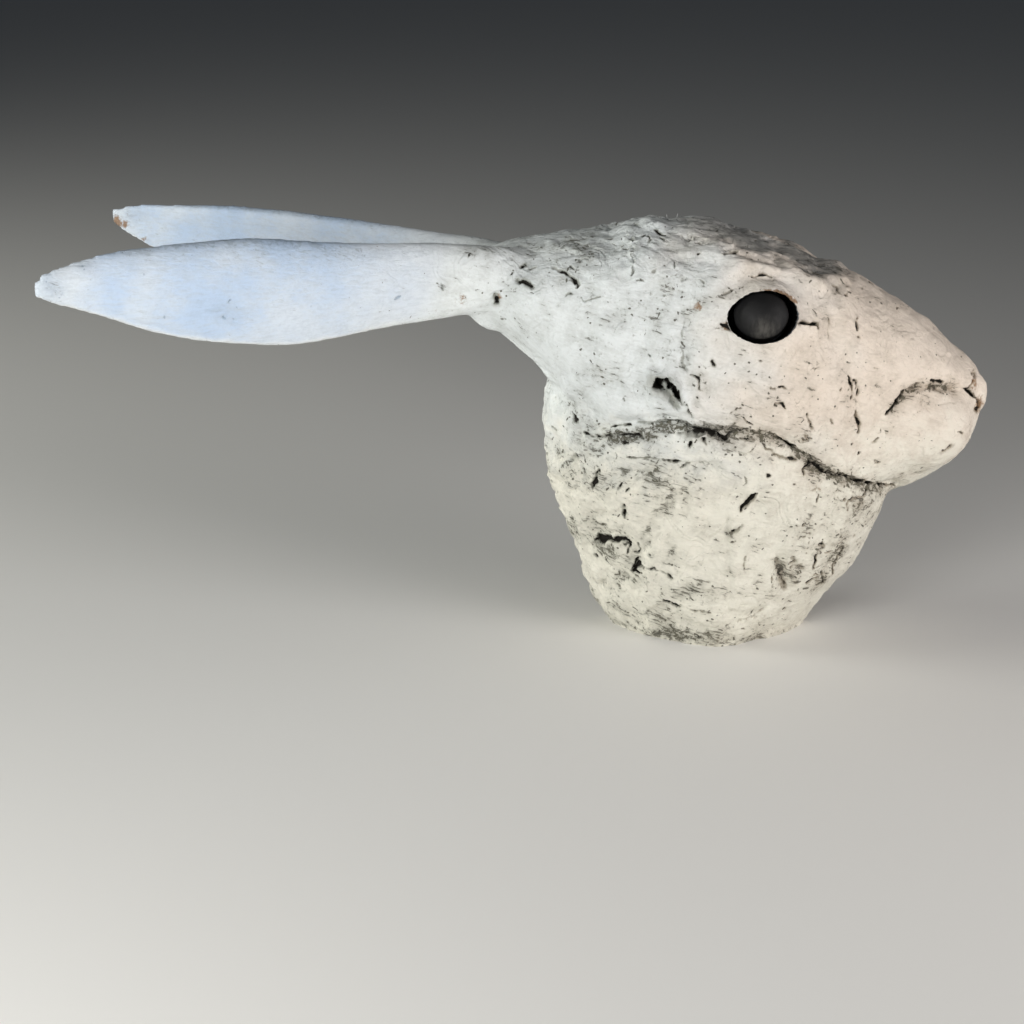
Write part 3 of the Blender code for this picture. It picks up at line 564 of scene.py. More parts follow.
class ClaySettings(bpy.types.PropertyGroup):
    voxel: length_setting("Clay voxel", "Spacing of the remeshed clay", 1.8 * MM)
    fine_edge: length_setting("Fine edge", "Longest edge kept where a mark is cut", 0.75 * MM)
    coarse_edge: length_setting("Coarse edge", "Longest edge kept elsewhere", 4 * MM)
    most_triangles: IntProperty(
        name="Most triangles", description="The clay is thinned down to this", default=188000)
    softening: IntProperty(name="Softening", description="Smoothing passes after the remesh", default=7)
    lump_height: length_setting("Lumps", "Height of the broad lumps hands leave", 1.0 * MM)
    dab_depth: length_setting("Dabs", "Depth of fingertip dabs", 0.7 * MM)
    layer_height: length_setting("Layers", "Height of the torn edges of laid-on clay", 0.45 * MM)
    slip: colour_setting("Slip", "White slip on the neck", "#E6E3D6")
    warm_slip: colour_setting("Warm slip", "Creamier slip on the face", "#E4D8CA")
    cool_slip: colour_setting("Cool slip", "Slip on the back of the skull", "#E3E8E8")
    ear_slip: colour_setting("Ear slip", "White slip under the ears' wash", "#E3E6E6")
    ear_wash: colour_setting("Ear wash", "Pale blue wash brushed on the ears", "#B9CCE4")
    ear_film: colour_setting("Ear film", "Stain wiped thin over the ears' wash", "#8798AA")
    stain: colour_setting("Stain", "Dark stain left in the marks", "#1D1A14")
    thin_stain: colour_setting("Thin stain", "The stain where it lies thin in a mark", "#4C493A")
    # The film colours also paint shade: under the folds' lips, in hollows, below the layers' edges and on the
    # ears' tops
    film: colour_setting("Stain film", "Stain wiped thin over the slip", "#85867A")
    brown_film: colour_setting("Brown film", "Browner film on the face and the neck's front", "#8C7F6B")
    # The smoke colour is partly the top's own grey and partly painted shade on the upward-facing top of the
    # head
    smoke_and_shade: colour_setting("Smoke", "Grey of the unwiped top of the head", "#8E8E8A")
    bare: colour_setting("Bare clay", "Stoneware where the slip is missing", "#8C6C4C")


class EyeSettings(bpy.types.PropertyGroup):
    charcoal: colour_setting("Charcoal", "Burnished charcoal clay", "#151516")
    # The gap shade is painted shade: the near black laid on the balls past their disc, where the gap behind
    # the lids lies in shadow
    gap_shade: colour_setting("Sunk clay", "The clay behind the lids", "#090807")
    dust: colour_setting("Dust", "Slip dust wiped over the balls", "#54524E")


class StageSettings(bpy.types.PropertyGroup):
    distance: length_setting("Camera distance", "From the lens to the middle of the neck's foot", 1.2)
    floor: colour_setting("Floor", "Pale paper floor", "#EBEAE7")


def add_node(tree, kind, inputs=None, output=0, **settings):
    """Adds a node with its settings and gives one of its outputs. Inputs are values, or outputs to link."""
    node = tree.nodes.new(kind)
    for name, value in settings.items():
        setattr(node, name, value)
    for name, value in (inputs or {}).items():
        if isinstance(value, bpy.types.NodeSocket):
            tree.links.new(value, node.inputs[name])
        else:
            node.inputs[name].default_value = value
    return node.outputs[output]


def new_material(name):
    """A material with its node tree and its shader."""
    made = bpy.data.materials.new(name)
    made.use_nodes = True
    return made, made.node_tree, made.node_tree.nodes["Principled BSDF"]


def rise(values, start, end):
    """Nought before the start, one past the end, and a smooth rise between them."""
    t = np.clip((values - start) / (end - start), 0, 1)
    return t * t * (3 - 2 * t)


# The lattices that noise is made on are turned, so that they show in no direction
TURN = np.array(Euler((0.6, 0.9, 0.3)).to_matrix())
CELL_KEYS = np.array((73856093, 19349663, 83492791))
PICKS = 65536


def pick(cells):
    """A repeatable place in a table of random picks for each lattice cell."""
    return np.bitwise_xor.reduce(cells * CELL_KEYS, axis=1) % PICKS


def noise_at(points, size, octaves=1, seed=0):
    """Smooth noise at each point, from about -1 to 1, with lumps of about the size given."""
    table = np.random.default_rng(seed).uniform(-1, 1, PICKS)
    total = np.zeros(len(points))
    place = points @ TURN / size
    for octave in range(octaves):
        cell = np.floor(place).astype(np.int64)
        part = place - cell
        part = part * part * (3 - 2 * part)
        for corner in itertools.product((0, 1), repeat=3):
            share = np.prod(np.where(corner, part, 1 - part), axis=1)
            total += share * table[pick(cell + np.array(corner))] / 2**octave
        place = place @ TURN * 2 + 7.1
    return total


def dabs_at(points, size, seed=0):
    """Round hollows side by side, nought on the ridges between them and one at their middles."""
    table = np.random.default_rng(seed).uniform(0, 1, (PICKS, 3))
    place = points @ TURN / size
    cell = np.floor(place).astype(np.int64)
    nearest = np.full(len(points), 9.0)
    second = np.full(len(points), 9.0)
    for step in itertools.product((-1, 0, 1), repeat=3):
        other = cell + np.array(step)
        away = np.linalg.norm(other + table[pick(other)] - place, axis=1)
        second = np.minimum(second, np.maximum(nearest, away))
        nearest = np.minimum(nearest, away)
    return rise(second - nearest, 0, 0.55)


def nearest_on_line(points, line):
    """How far each point lies from the line, at which share of its length, and on which side (1 above)."""
    if len(line) == 1:
        return np.linalg.norm(points - line[0], axis=1), np.full(len(points), 0.5), np.ones(len(points))
    steps = np.linalg.norm(np.diff(line, axis=0), axis=1)
    begun = np.concatenate(([0], np.cumsum(steps)))
    best = np.full(len(points), np.inf)
    along = np.zeros(len(points))
    above = np.ones(len(points))
    for start, way, length, before in zip(line, np.diff(line, axis=0), steps, begun):
        off = points - start
        t = np.clip(off @ way / length**2, 0, 1)
        away = np.linalg.norm(off - t[:, None] * way, axis=1)
        closer = away < best
        best[closer] = away[closer]
        along[closer] = (before + t[closer] * length) / begun[-1]
        above[closer] = np.sign(way[0] * off[closer, 2] - way[2] * off[closer, 0])
    return best, along, above


def eye_place(name):
    """The middle and radius of an eye ball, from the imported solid."""
    low, high = EYE_BOXES[name]
    return (low + high) / 2, (high.x - low.x) / 2


def eye_matrix(name, side):
    """The eye's place, with its Z axis out between the lids, a little upwards, and its X axis forward."""
    out = Vector((0, side * math.cos(LID_TILT), math.sin(LID_TILT)))
    forward = Vector((1, 0, 0))
    axes = Matrix((forward, out.cross(forward), out)).transposed().to_4x4()
    return Matrix.Translation(eye_place(name)[0]) @ axes


def opening_matrix(name, side):
    """The eye's place, turned as the cut between its lids is."""
    return eye_matrix(name, side) @ Matrix.Rotation(-side * OPENING_TURN, 4, "Z")


def merged_copy(name):
    """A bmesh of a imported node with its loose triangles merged."""
    shape = bmesh.new()
    shape.from_mesh(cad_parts[name].data)
    bmesh.ops.remove_doubles(shape, verts=shape.verts, dist=TOUCHING)
    return shape


def add_ball(shape, centre, radius, segments=32):
    bmesh.ops.create_uvsphere(
        shape, u_segments=segments, v_segments=segments // 2, radius=radius,
        matrix=Matrix.Translation(centre),
    )


def new_mesh(name, shape):
    """A mesh of the shape. The bmesh given is freed."""
    mesh = bpy.data.meshes.new(name)
    shape.to_mesh(mesh)
    shape.free()
    return mesh


def new_object(name, shape):
    """An object of the shape, in the scene. The bmesh given is freed."""
    made = bpy.data.objects.new(name, new_mesh(name, shape))
    bpy.context.scene.collection.objects.link(made)
    return made


def modified(shape, steps):
    """The shape after modifiers, each given as its type and settings. The bmesh given is freed."""
    holder = new_object("clay_in_work", shape)
    mesh = holder.data
    for kind, settings in steps:
        made = holder.modifiers.new(kind, kind)
        for name, value in settings.items():
            setattr(made, name, value)
    result = bmesh.new()
    result.from_object(holder, bpy.context.evaluated_depsgraph_get())
    bpy.data.objects.remove(holder)
    bpy.data.meshes.remove(mesh)
    return result


def on_surface(tree, x, z, side):
    """The outermost point of one side of the clay at x and z, or None past its outline."""
    return tree.ray_cast(Vector((x, side * FAR, z)), Vector((0, -side, 0)))[0]


def laid_line(tree, points, side):
    """A line given in millimetres along X and up Z, laid on the clay's side, with points close together."""
    flat = [Vector((x * MM, z * MM)) for x, z in points]
    dense = [flat[0]]
    for start, end in zip(flat, flat[1:]):
        count = max(1, round((end - start).length / LINE_STEP))
        dense += [start.lerp(end, (i + 1) / count) for i in range(count)]
    found = [on_surface(tree, p.x, p.y, side) for p in dense]
    return np.array([p for p in found if p is not None])


def filled_clay(settings):
    """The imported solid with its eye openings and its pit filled, remeshed and softened."""
    shape = merged_copy("rabbit_head")
    tree = BVHTree.FromBMesh(shape)
    foot = [face for face in shape.faces if all(vertex.co.z < FOOT_LEVEL for vertex in face.verts)]
    lowered = bmesh.ops.extrude_face_region(shape, geom=foot)["geom"]
    bmesh.ops.delete(shape, geom=foot, context="FACES")
    below = [item for item in lowered if isinstance(item, bmesh.types.BMVert)]
    bmesh.ops.translate(shape, verts=below, vec=(0, 0, -FOOT_SPARE))
    for name in EYE_BOXES:
        centre, radius = eye_place(name)
        add_ball(shape, centre, radius + SOCKET_GAP + LID_THICKNESS, FILLING_SEGMENTS)
    x, z = PIT_PLACE
    rim = [on_surface(tree, (x + dx) * MM, (z + dz) * MM, RIGHT) for dx, dz in PIT_RIM]
    depth = sum(p.y for p in rim) / len(rim) + PIT_FILL - PIT_PROUD
    add_ball(shape, Vector((x * MM, depth, z * MM)), PIT_FILL)
    return modified(shape, (
        ("REMESH", {"mode": "VOXEL", "voxel_size": settings.voxel}),
        ("SMOOTH", {"factor": 0.5, "iterations": settings.softening}),
        ("TRIANGULATE", {}),
    ))


def on_ears(points):
    return rise(-points[:, 0], *EARS)


def roughness_at(points):
    """How torn the clay is: most on the neck's back, little on the muzzle and hardly at all on the ears."""
    x, z = points[:, 0], points[:, 2]
    back = rise(-x, *BACK) * (0.35 - 0.2 * rise(z, *SKULL))
    roots = rise(-x, *EAR_ROOTS) * rise(z, *UNDER_ROOTS)
    value = 0.25 + 0.2 * rise(-z, *NECK) + back + 0.2 * rise(z, *CROWN)
    value = value - 0.12 * rise(x, *MUZZLE) - 0.75 * roots
    return np.clip(value, 0.05, 1) * (1 - 0.93 * on_ears(points))


def eye_nearness(points):
    """One at the eyes, falling to nought a little past the lids."""
    near = np.zeros(len(points))
    for name in EYE_BOXES:
        centre, radius = eye_place(name)
        away = np.linalg.norm(points - np.array(centre), axis=1)
        near = np.maximum(near, 1 - rise(away - radius, *LID_SURROUND))
    return near


def scattered_marks(shape, tree):
    """Small slits and pits strewn over the clay, thickest where it is roughest."""
    dice = random.Random(SCATTER_SEED)
    shape.verts.ensure_lookup_table()
    marks = []
    while len(marks) < SCATTER_COUNT:
        vertex = shape.verts[dice.randrange(len(shape.verts))]
        place = np.array([vertex.co])
        chance = roughness_at(place)[0] * (0.4 + rise(noise_at(place, SCATTER_CLUMP, 2, 11), 0, 0.4)[0])
        if vertex.normal.y < -0.5:
            chance *= SCATTER_RIGHT_SHARE
        if dice.random() > chance or eye_nearness(place)[0] > 0.3:
            continue
        turned = Vector([dice.gauss(0, 1) for _ in range(3)]) + Vector((0, 0, 1.5))
        way = vertex.normal.cross(turned).normalized()
        length = dice.uniform(*SCATTER_LENGTH) * dice.uniform(0.05, 1) ** 1.5 * MM
        bend = vertex.normal.cross(way) * dice.uniform(-0.35, 0.35) * length
        line = [tree.find_nearest(vertex.co + way * length * t + bend * abs(t))[0] for t in (-0.5, 0, 0.5)]
        width = dice.uniform(*SCATTER_WIDTH) * dice.uniform(0.5, 1)
        marks.append((np.array(line), width, width * dice.uniform(*SCATTER_DEPTH), dice.uniform(0.6, 1.25)))
    return marks


def slit_shape(away):
    """Depth of a steep-walled slit, by the distance over its half width, with a low rim of pushed clay."""
    return np.clip(1.15 - away**2, 0, 1) - 0.24 * np.exp(-(((away - 1.6) / 0.45) ** 2))


def soft_shape(away):
    return np.exp(-(away**2))


def finder(points):
    """A function that gives the rows of the points in a line's box grown by a reach."""
    order = np.argsort(points[:, 0])
    along = points[order, 0]

    def close_to(line, reach):
        low, high = line.min(0) - reach, line.max(0) + reach
        rows = order[np.searchsorted(along, low[0]) : np.searchsorted(along, high[0])]
        inside = np.all((points[rows] > low) & (points[rows] < high), axis=1)
        return rows[inside]

    return close_to


def jagged(points):
    """The points shaken by up to about a millimetre, so that lines between them come out torn."""
    shake = np.stack([noise_at(points, SHAKE_SIZE, 2, seed) for seed in (21, 22, 23)], 1)
    sway = np.stack([noise_at(points, SWAY_SIZE, 1, seed) for seed in (24, 25, 26)], 1)
    return points + SHAKE * shake + SWAY * sway


def press(points, close_to, marks, profile, sign, shift, stain):
    """Pushes points in, or out where the sign is -1, by each mark, and adds the stain that it holds."""
    torn = jagged(points)
    broken = noise_at(points, 3.2 * MM, 2, 8)
    for line, width, depth, held in marks:
        close = close_to(line, (3.4 * width + 1.5) * MM)
        if not len(close):
            continue
        away, along, _ = nearest_on_line(torn[close], line)
        wobble = 1 + 0.35 * broken[close]
        length = np.linalg.norm(np.diff(line, axis=0), axis=1).sum() / (width * MM)
        taper = 1.0
        if length > 4:
            taper = 0.45 + 0.55 * np.clip(np.minimum(along, 1 - along) * length / 2.5, 0, 1)
        away = away / (width * MM * wobble * taper)
        amount = profile(away) * depth * MM
        deeper = np.abs(amount) > np.abs(shift[close])
        shift[close] = np.where(deeper, -sign * amount, shift[close])
        mark = held * (1 + 0.5 * broken[close]) * np.clip(1.15 - away**2 * 0.75, 0, 1)
        skirt = 0.36 * held * np.exp(-((away / 2.6) ** 2))
        stain[close] = np.maximum(stain[close], np.maximum(mark, skirt))


def fold(points, close_to, folds, shift, worn_and_shaded):
    """Raises the clay above each line, presses it in below, and rubs stain and painted shade in under the
    lip.
    """
    for line, up, down, spread, held in folds:
        close = close_to(line, 3 * spread * MM)
        if not len(close):
            continue
        near = points[close]
        away, along, above = nearest_on_line(near, line)
        signed = away * above / MM + 0.7 * noise_at(near, 7 * MM, 2, 12)
        lift = up * np.exp(-np.clip(signed, 0, None) / spread)
        drop = down * np.exp(-np.clip(-signed, 0, None) / spread) * (1 + 0.4 * noise_at(near, 9 * MM, 2, 13))
        over = rise(signed, -0.5, 0.8)
        taper = rise(along, 0, 0.12) * rise(1 - along, 0, 0.12)
        shift[close] += (lift * over - drop * (1 - over)) * taper * MM
        # Stain and painted shade under the lip, carried on in the wear attribute
        shade = 1.15 * held * taper * np.exp(-(((signed + 1.5) / 5) ** 2))
        worn_and_shaded[close] = np.maximum(worn_and_shaded[close], shade)


def longest_edges(points, marks, fine, coarse):
    """The longest edge wanted at each point: fine in the marks and coarse away from them."""
    close_to = finder(points)
    wanted = np.full(len(points), coarse)
    for line, width, *_ in marks:
        close = close_to(line, (width * 2.2 + 2.5) * MM)
        if len(close):
            away = nearest_on_line(points[close], line)[0] - width * 1.5 * MM
            grown = fine * max(1.0, width / 1.6) + np.clip(away, 0, None) * 0.7
            wanted[close] = np.minimum(wanted[close], grown)
    return wanted


def read_places(mesh, name="co"):
    """The places or normals of a mesh's vertices as an array."""
    values = np.empty(len(mesh.vertices) * 3)
    mesh.vertices.foreach_get(name, values)
    return values.reshape(-1, 3)


def refine(shape, marks, fine, coarse):
    """Splits the edges that are longer than what is wanted where they lie."""
    for _ in range(REFINE_PASSES):
        mesh = bpy.data.meshes.new("clay_edges")
        shape.to_mesh(mesh)
        ends = np.empty(len(mesh.edges) * 2, dtype=np.int32)
        mesh.edges.foreach_get("vertices", ends)
        ends = read_places(mesh)[ends.reshape(-1, 2)]
        bpy.data.meshes.remove(mesh)
        lengths = np.linalg.norm(ends[:, 0] - ends[:, 1], axis=1)
        wanted = longest_edges(ends.mean(axis=1), marks, fine, coarse)
        edges = list(shape.edges)
        split = [edges[i] for i in np.nonzero(lengths > 1.35 * wanted)[0]]
        bmesh.ops.subdivide_edges(shape, edges=split, cuts=1)
        bmesh.ops.triangulate(shape, faces=shape.faces)


def patches_at(points, patches, side):
    """How much each point of one side takes of the patches laid on it."""
    value = np.zeros(len(points))
    for x, z, half_length, half_height, strength in patches:
        across = (points[:, 0] - x * MM) / (half_length * MM)
        up = (points[:, 2] - z * MM) / (half_height * MM)
        value = np.maximum(value, strength * np.exp(-0.8 * (across**2 + up**2)))
    return value * rise(side * points[:, 1], -0.002, 0.006)


def broad_relief(points, settings):
    """Height of the lumps, dabs, torn layers and crumbs that hands leave all over, before any mark."""
    ear = on_ears(points)
    off_ears = 1 - 0.9 * ear
    rough = roughness_at(points)
    crown = rise(points[:, 2], *TORN_CROWN) * (1 - ear)
    warped = points + WARP * np.stack([noise_at(points, WARP_SIZE, 1, seed) for seed in (2, 3, 4)], 1)
    lumps = settings.lump_height * noise_at(points, LUMP_SIZE, 2, 1) * (1 - 0.6 * ear)
    wide, small, plane = (
        dabs_at(warped, size, seed) - 0.6
        for size, seed in ((WIDE_DAB_SIZE, 5), (SMALL_DAB_SIZE, 6), (PLANE_SIZE, 15))
    )
    dabs = settings.dab_depth * (wide * (0.35 + 0.5 * rough) + small * 0.38 * rough) * (1 - 0.85 * ear)
    planes = PLANE_DEPTH * plane * (1 - ear)
    nape = rise(-points[:, 0], *NAPE) * rise(-points[:, 2], *LOW_NAPE)
    nape = nape * NAPE_HEIGHT * noise_at(warped, NAPE_SIZE, 3, 19)
    field = noise_at(warped, LAYER_SIZE, 3, 27)
    layers = sum(rise(field, level, level + 0.1) for level in LAYER_LEVELS) - len(LAYER_LEVELS) / 2
    layers = layers * settings.layer_height * (0.35 + rough) * off_ears
    wrinkles = 1 - 2.2 * np.abs(noise_at(warped * (1, 1, 0.35), WRINKLE_SIZE, 2, 7))
    wrinkles = wrinkles * WRINKLE_HEIGHT * (0.3 + rough) * off_ears
    crumbs = noise_at(warped, CRUMB_SIZE, 3, 8) * CRUMB_HEIGHT * (0.1 + rough + crown) * off_ears
    torn = rise(noise_at(warped, TEAR_SIZE, 3, 9), 0.25, 0.6) * TEAR_DEPTH * rough**2
    height = lumps - dabs - planes + nape + layers + wrinkles + crumbs - torn
    return height * (1 - 0.85 * eye_nearness(points))


def wash_and_rim_highlight_at(points, normals):
    """How much of the ears' blue wash each point has: none on their roots, tips and lower rims, and the lower
    rims are left whiter as a painted highlight.
    """
    drift = noise_at(points, 40 * MM, 2, 31) * 0.02
    begun = rise(-points[:, 0] + drift, *WASH)
    tip = rise(-points[:, 0] + drift, *WASH_TIP)
    # Painted highlight: the downward-facing lower rims lose the wash and come out whiter, as a lit rim
    rim = rise(-normals[:, 2] + 0.12 * noise_at(points, 9 * MM, 2, 32), 0.42, 0.8)
    return begun * (1 - 0.45 * tip) * (1 - 0.9 * rim)


def smoke_and_shade_at(points):
    """How grey and fibrous the top of the head is, above its ridge: partly the slip's own grey and partly
    painted shade on the upward-facing top.
    """
    x, z = points[:, 0], points[:, 2]
    ridge = np.array(CROWN_RIDGE) * MM
    over = z - np.interp(x, ridge[:, 0], ridge[:, 1]) + 1.2 * MM * noise_at(points, 9 * MM, 2, 33)
    thickness = 0.6 + 0.4 * rise(x, *SMOKE_THICK)
    return thickness * rise(over, *SMOKE_EDGE) * rise(x, *SMOKE_BACK) * rise(-x, *SMOKE_FRONT)


def wear_and_shade_at(points, normals, relief, under_lips, settings):
    """How worn and how shaded the slip is: stain and painted shade under folds and in hollows, wear in
    patches and clumps, at the foot, and painted shade on the ears' tops.
    """
    rough = roughness_at(points)
    mirrored = [(*patch[:4], 0.8 * patch[4]) for patch in RIGHT_WORN]
    rubbed = np.maximum(patches_at(points, RIGHT_WORN, RIGHT), patches_at(points, mirrored, LEFT))
    clumps = 0.5 * rise(noise_at(points, CLUMP_SIZE, 2, 14), 0.0, 0.6) * rough
    # Hollows take stain and painted shade, darker the deeper the relief is pressed in
    hollows = 0.45 * rise(-relief / settings.dab_depth, 0.6, 2.2) * (0.3 + rough)
    foot = 0.4 * (1 - rise(points[:, 2], *FOOT_EDGE))
    # Painted shade: film darkens the ears' upward-facing tops
    ear_top_shade = 0.9 * rise(-points[:, 0], *EAR_TOP) * rise(normals[:, 2], 0.0, 0.75)
    ear_top_shade = ear_top_shade * (1 - rise(-points[:, 0], *EAR_TOP_END))
    return np.clip(np.maximum(under_lips, rubbed) + clumps + hollows + foot + ear_top_shade, 0, 1)


def model_clay(settings):
    """The clay with all its relief, as a mesh with attributes for its stain, its wear and painted shade, bare
    clay, the ears' wash with its painted rim highlight, and the top's smoke and painted shade.
    """
    shape = filled_clay(settings)
    tree = BVHTree.FromBMesh(shape)
    laid = {
        name: [(laid_line(tree, row[0], side), *row[1:]) for row in rows]
        for name, side, rows in (
            ("slits", RIGHT, RIGHT_SLITS), ("dents", RIGHT, RIGHT_DENTS), ("rolls", RIGHT, RIGHT_ROLLS),
            ("folds", RIGHT, RIGHT_FOLDS), ("flaps", RIGHT, RIGHT_FLAPS), ("left slits", LEFT, LEFT_SLITS),
            ("left folds", LEFT, RIGHT_FOLDS),
        )
    }
    cuts = laid["slits"] + laid["left slits"] + scattered_marks(shape, tree)
    refine(shape, cuts, settings.fine_edge, settings.coarse_edge)
    mesh = new_mesh("clay_in_work", shape)
    points = read_places(mesh)
    normals = read_places(mesh, "normal")

    close_to = finder(points)
    relief = broad_relief(points, settings)
    top = np.array(TOP_LINE) * MM
    top = np.interp(points[:, 0], top[:, 0], top[:, 1]) * rise(normals[:, 2], *FACING_UP)
    moved = relief + top * (1 - rise(eye_nearness(points), 0, 0.2))
    stain = np.zeros(len(points))
    under_lips = np.zeros(len(points))
    fold(points, close_to, laid["folds"] + laid["left folds"], moved, under_lips)
    for marks, profile, sign in (
        (laid["rolls"], soft_shape, -1), (laid["dents"], soft_shape, 1), (cuts, slit_shape, 1),
    ):
        shift = np.zeros(len(points))
        press(points, close_to, marks, profile, sign, shift, stain)
        moved += shift
    for line, width, depth, held in laid["flaps"]:
        close = close_to(line, 3 * width * MM)
        away = nearest_on_line(points[close], line)[0] / (width * MM)
        share = 1 - rise(away, 0.7, 1.15)
        moved[close] += (-depth * MM - moved[close]) * share
        stain[close] += (held - stain[close]) * share
    bare = patches_at(points, RIGHT_BARE, RIGHT)
    for place, reach, depth, held, raw in LEFT_TIP:
        near = np.exp(-((np.linalg.norm(points - np.array(place) * MM, axis=1) / (reach * MM)) ** 2))
        moved -= depth * MM * near
        stain = np.maximum(stain, held * near)
        bare = np.maximum(bare, raw * near)
    moved_points = points + normals * moved[:, None]

    values = {
        "stain": stain,
        "worn_and_shaded": wear_and_shade_at(points, normals, relief, under_lips, settings),
        "bare": bare,
        "wash_and_rim_highlight": wash_and_rim_highlight_at(points, normals),
        "smoke_and_shade": smoke_and_shade_at(points),
    }
    mesh.vertices.foreach_set("co", moved_points.ravel())
    for name, value in values.items():
        mesh.attributes.new(name, "FLOAT", "POINT").data.foreach_set("value", value)
    shape = bmesh.new()
    shape.from_mesh(mesh)
    bpy.data.meshes.remove(mesh)
    triangles = len(shape.faces)
    if triangles > settings.most_triangles:
        shape = modified(shape, (("DECIMATE", {"ratio": settings.most_triangles / triangles}),))
    return shape


def level_foot(shape):
    """Cuts the clay off flat at the surface it stands on and closes the cut."""
    everything = shape.verts[:] + shape.edges[:] + shape.faces[:]
    cut = bmesh.ops.bisect_plane(
        shape, geom=everything, dist=TOUCHING, plane_co=(0, 0, 0), plane_no=(0, 0, 1), clear_inner=True,
    )
    rim = [item for item in cut["geom_cut"] if isinstance(item, bmesh.types.BMEdge)]
    bmesh.ops.holes_fill(shape, edges=rim, sides=0)
    bmesh.ops.triangulate(shape, faces=shape.faces)


def opening_cutter(name, side):
    """The oval cut between the lids, a little ragged, joined to the round socket behind it."""
    power = 2 / OPENING_SHARPNESS
    shape = bmesh.new()
    ring = []
    for i in range(OPENING_POINTS):
        angle = 2 * math.pi * i / OPENING_POINTS
        across, up = math.cos(angle), math.sin(angle)
        ragged = 1
        for waves, share in OPENING_RAGS:
            ragged += share * noise.noise(Vector((waves * across, waves * up, side)))
        ring.append(shape.verts.new((
            ragged * OPENING_LENGTH / 2 * math.copysign(abs(across) ** power, across),
            ragged * OPENING_HEIGHT / 2 * math.copysign(abs(up) ** power, up),
            -LID_THICKNESS,
        )))
    floor = shape.faces.new(ring)
    walls = bmesh.ops.extrude_face_region(shape, geom=[floor])
    raised = [item for item in walls["geom"] if isinstance(item, bmesh.types.BMVert)]
    centre, radius = eye_place(name)
    bmesh.ops.translate(shape, verts=raised, vec=(0, 0, 3 * radius))
    bmesh.ops.transform(shape, verts=shape.verts, matrix=opening_matrix(name, side))
    bmesh.ops.recalc_face_normals(shape, faces=shape.faces)
    socket = bmesh.new()
    add_ball(socket, centre, radius + SOCKET_GAP, SOCKET_SEGMENTS)
    bmesh.ops.recalc_face_normals(socket, faces=socket.faces)
    socket = new_object(name + "_socket", socket)
    union = {"operation": "UNION", "solver": "EXACT", "object": socket}
    joined = modified(shape, (("BOOLEAN", union),))
    bpy.data.objects.remove(socket)
    return joined


def eye_cutters():
    """Both eyes' cutters as one object."""
    both = bmesh.new()
    for name, side in EYES.items():
        mesh = new_mesh(name, opening_cutter(name, side))
        both.from_mesh(mesh)
        bpy.data.meshes.remove(mesh)
    bmesh.ops.recalc_face_normals(both, faces=both.faces)
    return new_object("eye_cutters", both)


